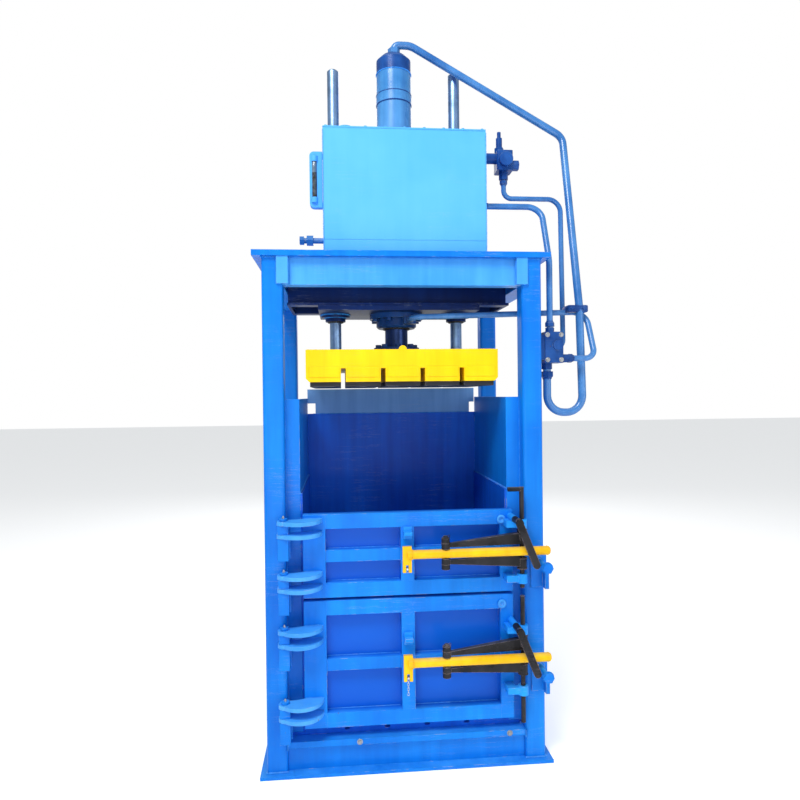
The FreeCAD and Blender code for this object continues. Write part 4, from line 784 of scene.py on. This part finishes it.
# %% One bolt head
BOLT_ACROSS, BOLT_HEIGHT = 0.019, 0.009


def bolt_head(across, height):
    begin()
    bpy.ops.mesh.primitive_cylinder_add(vertices=6, radius=across / math.sqrt(3), depth=height,
                                        location=(0, 0, height / 2))
    head = bpy.context.object
    bpy.ops.object.transform_apply(location=True)
    pick(head, lambda centre, normal: normal.z > 0.9)
    bpy.ops.mesh.inset(thickness=across * 0.10)
    bpy.ops.transform.translate(value=(0, 0, height * 0.16))
    bpy.ops.mesh.primitive_cylinder_add(vertices=20, radius=across * 0.86, depth=height * 0.3,
                                        location=(0, 0, height * 0.1))
    bpy.ops.mesh.bevel(offset=height * 0.06, segments=1)
    return settle("bolt_pattern")


bolt = bolt_head(BOLT_ACROSS, BOLT_HEIGHT)
print("bolt head has", len(bolt.data.polygons), "faces")

# %% Bolts on the tank lid, sill and drive
LID_INSET = 0.012
bolts = []
for k in range(9):
    x = lid_low.x + LID_INSET + (lid_high.x - lid_low.x - 2 * LID_INSET) * k / 8
    for y in (lid_low.y + LID_INSET, lid_high.y - LID_INSET):
        bolts.append(copy_to(bolt, (x, y, tank_high.z + 0.006), turn=chance.uniform(0, 1), size=0.62))
for x in (lid_low.x + LID_INSET, lid_high.x - LID_INSET):
    bolts.append(copy_to(bolt, (x, (lid_low.y + lid_high.y) / 2, tank_high.z + 0.006), size=0.62))
dress(join(bolts, "tank_lid_bolts"), "tank_blue", "press_frame")

SILL_BOLT_X = (-0.190, 0.400)
bolts = [copy_to(bolt, (x, sill_low.y + 0.024, sill_high.z - 0.012), (0, -1, 0), size=0.7)
         for x in SILL_BOLT_X]
valve_low, valve_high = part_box("control_valve")
VALVE_FACE_X = (0.575, 0.631)
for x in VALVE_FACE_X:
    for z in (valve_low.z + 0.036, valve_high.z - 0.032):
        bolts.append(copy_to(bolt, (x, valve_low.y + 0.014, z), (0, -1, 0), chance.uniform(0, 1), 0.6))
motor_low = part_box("pump_motor")[0]
dress(join(bolts, "small_bolts"), "bolt_steel", "press_frame")

# %% [markdown]
# ## The platen's face
# Between the strap slots the lower half of the yellow press plate carries welded pads, with a
# brighter rim where the paint has gathered. Each is a thin block, inset and pulled out by a
# few millimetres, then bevelled. A small lug for lifting stands at the middle of the top edge.

# %% Platen pads and lug
platen_low, platen_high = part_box("platen")
SLOT_PITCH, SLOT_HALF = 0.1585, 0.0095
PAD_THICK, PAD_HEIGHT = 0.003, 0.044
pad_edges = [platen_low.x + 0.012]
for k in range(4):
    slot_x = SLOT_PITCH * (k - 1.5)
    pad_edges += [slot_x - SLOT_HALF - 0.006, slot_x + SLOT_HALF + 0.006]
pad_edges.append(platen_high.x - 0.012)
pads = []
for x0, x1 in zip(pad_edges[::2], pad_edges[1::2]):
    begin()
    bpy.ops.mesh.primitive_cube_add(size=1.0, location=((x0 + x1) / 2, platen_low.y - PAD_THICK / 2 + 0.0005,
                                                        platen_low.z + 0.018 + PAD_HEIGHT / 2))
    pad = bpy.context.object
    pad.scale = (x1 - x0, PAD_THICK, PAD_HEIGHT)
    bpy.ops.object.transform_apply(location=True, rotation=True, scale=True)
    pick(pad, lambda centre, normal: normal.y < -0.9)
    bpy.ops.mesh.inset(thickness=0.006)
    bpy.ops.transform.translate(value=(0, 0.0016, 0))
    bpy.ops.mesh.inset(thickness=0.004)
    bpy.ops.object.mode_set(mode="OBJECT")
    soften(pad, 0.0012, 2)
    pads.append(pad)
dress(join(pads, "platen_pads"), "press_yellow", "ram")

LUG_R, LUG_T = 0.016, 0.012
lug = drum(24, LUG_R, LUG_T, (0, platen_low.y + 0.007, platen_high.z), (math.pi / 2, 0, 0))
pick(lug, lambda centre, normal: abs(normal.y) > 0.9)
bpy.ops.mesh.inset(thickness=0.005)
bpy.ops.mesh.bevel(offset=0.001, segments=2)
dress(settle("platen_lug"), "press_yellow", "ram")
finish_welds([bead((platen_low.x + 0.006, platen_low.y + 0.002, platen_high.z),
                   (platen_high.x - 0.006, platen_low.y + 0.002, platen_high.z), 0.004)],
             "platen_edge_weld", "ram", "press_yellow")

# %% [markdown]
# ## The latches
# The yellow levers are tubes with a flat forked grip at one end. A short chain with a pin
# hangs from the lower grip, and both levers turn on a pin in a black fork. The fork's pin
# gets a washer and a split pin, the tube a closing weld, and the grip a welded root.

# %% Lever details
HANDLE_AXES = {"upper": 0.850, "lower": 0.440}
CLEVIS_X = 0.140
CLEVIS_EYE_TOP = 0.059
SHAFT_X, SHAFT_Y = 0.445, -0.400
LEVER_Y = -0.436
LEVER_R = 0.017
GRIP_FORK_DROP = 0.052
WASHER_R, WASHER_T = 0.0125, 0.004
SPLIT_PIN_R, SPLIT_PIN_WIRE = 0.005, 0.0012
GRIP_PIN_R, GRIP_PIN_LONG = 0.0045, 0.022
FACING_FRONT = (math.pi / 2, 0, 0)
for leaf, axis_z in HANDLE_AXES.items():
    body = leaf + "_latch_handle"
    lever_low, lever_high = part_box(leaf + "_handle")
    eye_top = axis_z + CLEVIS_EYE_TOP
    washer = drum(28, WASHER_R, WASHER_T, (CLEVIS_X, LEVER_Y, eye_top + WASHER_T / 2))
    pick(washer, lambda centre, normal: normal.z > 0.9)
    bpy.ops.mesh.inset(thickness=0.0035)
    bpy.ops.mesh.extrude_region_move(TRANSFORM_OT_translate={"value": (0, 0, 0.005)})
    bpy.ops.mesh.bevel(offset=0.0012, segments=2)
    split_pin = hoop(SPLIT_PIN_R, SPLIT_PIN_WIRE, (CLEVIS_X + 0.012, LEVER_Y, eye_top + 0.006),
                     (math.pi / 2, 0, 0.4), 20)
    dress(join([washer, split_pin], leaf + "_clevis_pin"), "latch_black", body)

    root = bead_ring((lever_low.x + 0.036, LEVER_Y, axis_z), LEVER_R, 0.007, (1, 0, 0))
    cap_ring = bead_ring((lever_high.x - 0.012, LEVER_Y, axis_z), LEVER_R - 0.0005, 0.004, (1, 0, 0))
    finish_welds([root, cap_ring], leaf + "_lever_welds", body, "LEVER_Yellow")

    hub = [bead_ring((SHAFT_X, SHAFT_Y, axis_z + s * rise), 0.0175, 0.006)
           for s in (-1, 1) for rise in (0.035, 0.075)]
    eye = [bead_ring((CLEVIS_X, LEVER_Y, axis_z + s * 0.040), 0.0155, 0.004) for s in (-1, 1)]
    finish_welds(hub + eye, leaf + "_arm_welds", body, "latch_black")

# %% Pin and chain on the grips
CHAIN_LINKS = 7
LINK_LONG, LINK_WIRE = 0.0062, 0.0013
begin()
bpy.ops.mesh.primitive_torus_add(major_radius=LINK_LONG, minor_radius=LINK_WIRE, major_segments=18,
                                 minor_segments=8, rotation=(math.pi / 2, 0, 0))
link = bpy.context.object
link.scale = (0.62, 1.0, 1.0)
link = settle("link_pattern")
for leaf, axis_z in HANDLE_AXES.items():
    body = leaf + "_latch_handle"
    lever_low, lever_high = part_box(leaf + "_handle")
    pin_x = lever_low.x + 0.017
    pin_z = axis_z - GRIP_FORK_DROP
    pin = drum(20, GRIP_PIN_R, GRIP_PIN_LONG, (pin_x, LEVER_Y, pin_z), FACING_FRONT)
    pick(pin, lambda centre, normal: abs(normal.y) > 0.9)
    bpy.ops.mesh.inset(thickness=0.0012)
    bpy.ops.mesh.extrude_region_move(TRANSFORM_OT_translate={"value": (0, 0, 0)})
    bpy.ops.transform.resize(value=(0.8, 1.0, 0.8))
    bpy.ops.mesh.bevel(offset=0.0005, segments=2)
    pin = settle("grip_pin")
    trim = [pin]
    count = CHAIN_LINKS if leaf == "lower" else 1
    for k in range(count):
        z = pin_z - 0.009 - k * (2 * LINK_LONG - 2.6 * LINK_WIRE)
        trim.append(copy_to(link, (pin_x, LEVER_Y + 0.0006 * (k % 3), z), turn=math.pi / 2 * (k % 2)))
    dress(join(trim, leaf + "_grip_pin"), "bright_zinc", body)

# %% [markdown]
# ## Eyes, washers and grease nipples
# The doors carry a small ring boss at the latch corner, where the catch bar is tied up while
# the doors stand open. Every hinge pin is greased, so each has a nipple on its head.

# %% Corner ring bosses
BOSS_INSET_X, BOSS_INSET_Z = 0.046, 0.036
RING_R, RING_WIRE = 0.0125, 0.005
SEAT_R, SEAT_T = 0.016, 0.006
for leaf in HANDLE_AXES:
    door_low, door_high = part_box(leaf + "_door")
    boss_at = (door_high.x - BOSS_INSET_X, door_low.y - 0.005, door_high.z - BOSS_INSET_Z)
    ring = hoop(RING_R, RING_WIRE, boss_at, FACING_FRONT, 32, 12)
    seat = drum(32, SEAT_R, SEAT_T, (boss_at[0], door_low.y - 0.002, boss_at[2]), FACING_FRONT)
    pick(seat, lambda centre, normal: normal.y < -0.9)
    bpy.ops.mesh.inset(thickness=0.005)
    bpy.ops.transform.translate(value=(0, 0.002, 0))
    seat = settle("seat")
    dress(join([ring, seat], leaf + "_ring_boss"), "beam_blue", leaf + "_door_leaf")

# %% Grease nipples on the hinge pins
NIPPLE_R, NIPPLE_FOOT = 0.006, 0.004
nipple = drum(6, NIPPLE_R, NIPPLE_FOOT, (0, 0, NIPPLE_FOOT / 2))
pick(nipple, lambda centre, normal: normal.z > 0.9)
bpy.ops.mesh.inset(thickness=0.0022)
bpy.ops.mesh.extrude_region_move(TRANSFORM_OT_translate={"value": (0, 0, 0.004)})
bpy.ops.mesh.inset(thickness=0.0008)
bpy.ops.mesh.extrude_region_move(TRANSFORM_OT_translate={"value": (0, 0, 0.002)})
bpy.ops.transform.resize(value=(1.3, 1.3, 1.0))
nipple = settle("nipple_pattern")
PIN_HEAD_RISE, HINGE_Y = 0.0095, -0.393
nipples = [copy_to(nipple, (hinge_x, HINGE_Y, top + PIN_HEAD_RISE)) for top in HINGE_TOPS]
dress(join(nipples, "grease_nipples"), "bright_zinc", "press_frame")

# %% [markdown]
# ## Hydraulics
# Steel pipes end in union nuts, and the long ones are held by a clamp where they cross. The
# gland and both guides have a black wiper ring that scrapes the rods clean.

# %% Union nuts
UNIONS = (              # centre, axis, pipe radius
    ((0.589, -0.286, 1.541), (0, 0, -1), 0.016),
    ((0.664, -0.322, 1.592), (1, 0, 0), 0.012),
    ((0.599, -0.296, 1.722), (0, 0, 1), 0.0125),
    ((0.605, -0.240, 1.640), (0, 1, 0), 0.0105),
    ((0.452, -0.150, 2.358), (0, 0, -1), 0.0105),
    ((0.346, -0.196, 2.236), (1, 0, 0), 0.0125),
    ((0.048, -0.134, 1.770), (0, -1, 0), 0.012))
NUT_R, NUT_HIGH = 0.0245, 0.020
union = drum(6, NUT_R, NUT_HIGH, (0, 0, NUT_HIGH / 2))
pick(union, lambda centre, normal: normal.z > 0.9)
bpy.ops.mesh.inset(thickness=0.0026)
bpy.ops.transform.translate(value=(0, 0, 0.0035))
bpy.ops.mesh.inset(thickness=0.0010)
bpy.ops.mesh.extrude_region_move(TRANSFORM_OT_translate={"value": (0, 0, 0.009)})
bpy.ops.transform.resize(value=(0.86, 0.86, 1.0))
union = settle("union_pattern")
PATTERN_PIPE_R = 0.016
nuts = [copy_to(union, at, axis, chance.uniform(0, 1), radius / PATTERN_PIPE_R)
        for at, axis, radius in UNIONS]
dress(join(nuts, "union_nuts"), "cast_blue", "press_frame")

# %% Pipe clamp and wipers
CLAMP_AT = (0.728, -0.236, 1.800)
CLAMP_BOLT_X, CLAMP_FRONT = (0.702, 0.754), -0.273
begin()
bpy.ops.mesh.primitive_cube_add(size=1.0, location=CLAMP_AT)
clamp = bpy.context.object
clamp.scale = (0.086, 0.074, 0.030)
bpy.ops.object.transform_apply(location=True, rotation=True, scale=True)
soften(clamp, 0.006, 3)
pick(clamp, lambda centre, normal: abs(normal.y) > 0.9)
bpy.ops.mesh.inset(thickness=0.004)
bpy.ops.mesh.extrude_region_move(TRANSFORM_OT_translate={"value": (0, 0, 0)})
bpy.ops.transform.resize(value=(0.92, 1.0, 0.82), center_override=CLAMP_AT)
clamp = settle("clamp")
clamp_bolts = [copy_to(bolt, (x, CLAMP_FRONT, CLAMP_AT[2]), (0, -1, 0), 0.3, 0.7) for x in CLAMP_BOLT_X]
dress(join([clamp] + clamp_bolts, "pipe_clamp"), "cast_blue", "press_frame")

WIPER_OUT, WIPER_WIRE = 0.006, 0.0048
WIPERS = ((0.0, 0.050, 1.7451), (-0.268, 0.025, 1.7761), (0.268, 0.025, 1.7761))   # x, rod radius, z
rings = []
for x, rod_r, z in WIPERS:
    rings.append(hoop(rod_r + WIPER_OUT, WIPER_WIRE, (x, 0, z - 0.001), across=12))
dress(join(rings, "rod_wipers"), "rubber", "press_frame")

# %% Bands on the cylinder
BAND_Z = (2.730, 2.772)
BAND_OUT, BAND_WIRE = 0.0005, 0.0028
bands = [hoop(barrel_r + BAND_OUT, BAND_WIRE, (0, 0, z), around=72) for z in BAND_Z]
dress(join(bands, "cylinder_bands"), "cast_blue", "press_frame")

# %% [markdown]
# ## Oil gauge and breather
# The gauge stands off the tank's left side: a flat painted body, with a sight glass half sunk
# in its front and a fitting at each end. The breather on the lid has a ribbed rim for the hand.

# %% Oil gauge
gauge_mid = (gauge_low + gauge_high) / 2
GLASS_SINK = 0.003                  # middle of the glass behind the body's front
glass_y = gauge_low.y + GLASS_SINK
glass_x = tank_low.x - 0.036
CAP_INSET = 0.030
GLASS_R, GLASS_LONG = 0.0105, 0.176
CAP_R, CAP_LONG = 0.0135, 0.022
tube = drum(32, GLASS_R, GLASS_LONG, (glass_x, glass_y, gauge_mid.z))
pick(tube, lambda centre, normal: abs(normal.z) > 0.9)
bpy.ops.mesh.bevel(offset=0.002, segments=2)
dress(settle("gauge_tube"), "gauge_glass", "press_frame")
caps = []
for z in (gauge_low.z + CAP_INSET, gauge_high.z - CAP_INSET):
    cap = drum(24, CAP_R, CAP_LONG, (glass_x, glass_y, z))
    pick(cap, lambda centre, normal: abs(normal.z) > 0.9)
    bpy.ops.mesh.inset(thickness=0.002)
    bpy.ops.mesh.bevel(offset=0.001, segments=1)
    caps.append(settle("cap"))
dress(join(caps, "gauge_caps"), "tank_blue", "press_frame")

# %% Ribbed breather rim
RIM_STEP = 7.5                      # degrees from one face of the rim to the next
rim_at = (lid_low.x + 0.090, lid_high.y - 0.070, lid_high.z - 0.012)
RIM_R, RIM_HIGH = 0.0335, 0.016
rim = drum(48, RIM_R, RIM_HIGH, rim_at)
pick(rim, lambda centre, normal: abs(normal.z) < 0.5 and
     round(math.degrees(math.atan2(normal.y, normal.x)) / RIM_STEP) % 2 == 0)
bpy.ops.mesh.inset(thickness=0.0005, use_individual=True)
bpy.ops.transform.resize(value=(0.95, 0.95, 1.0), center_override=rim_at)
dress(settle("breather_rim"), "cast_blue", "press_frame")

# %% [markdown]
# ## Motor
# The fan end of the motor is closed by a pressed cover with a ring of air slots. It sits
# behind the tank, but it is seen from the back.

# %% Fan cover
MOTOR_AXIS = Vector((0.0, 0.290, plate_high.z + 0.127))
SLOT_RADII = (0.045, 0.070, 0.094)
slots = []
SPOKES, SPOKE_R, RING_BAR_R = 8, 0.0032, 0.0035
grille_x = motor_low.x + 0.002
for radius in SLOT_RADII:
    slots.append(hoop(radius, RING_BAR_R, (grille_x, MOTOR_AXIS.y, MOTOR_AXIS.z), (0, math.pi / 2, 0)))
middle = (SLOT_RADII[0] + SLOT_RADII[-1]) / 2
for k in range(SPOKES):
    angle = 2 * math.pi * k / SPOKES
    spoke_at = (grille_x, MOTOR_AXIS.y + middle * math.cos(angle), MOTOR_AXIS.z + middle * math.sin(angle))
    slots.append(drum(10, SPOKE_R, SLOT_RADII[-1] - SLOT_RADII[0], spoke_at, (angle - math.pi / 2, 0, 0)))
dress(join(slots, "fan_grille"), "cast_blue", "press_frame")

# %% Tidy the patterns away
discard(bolt, link, nipple, union)
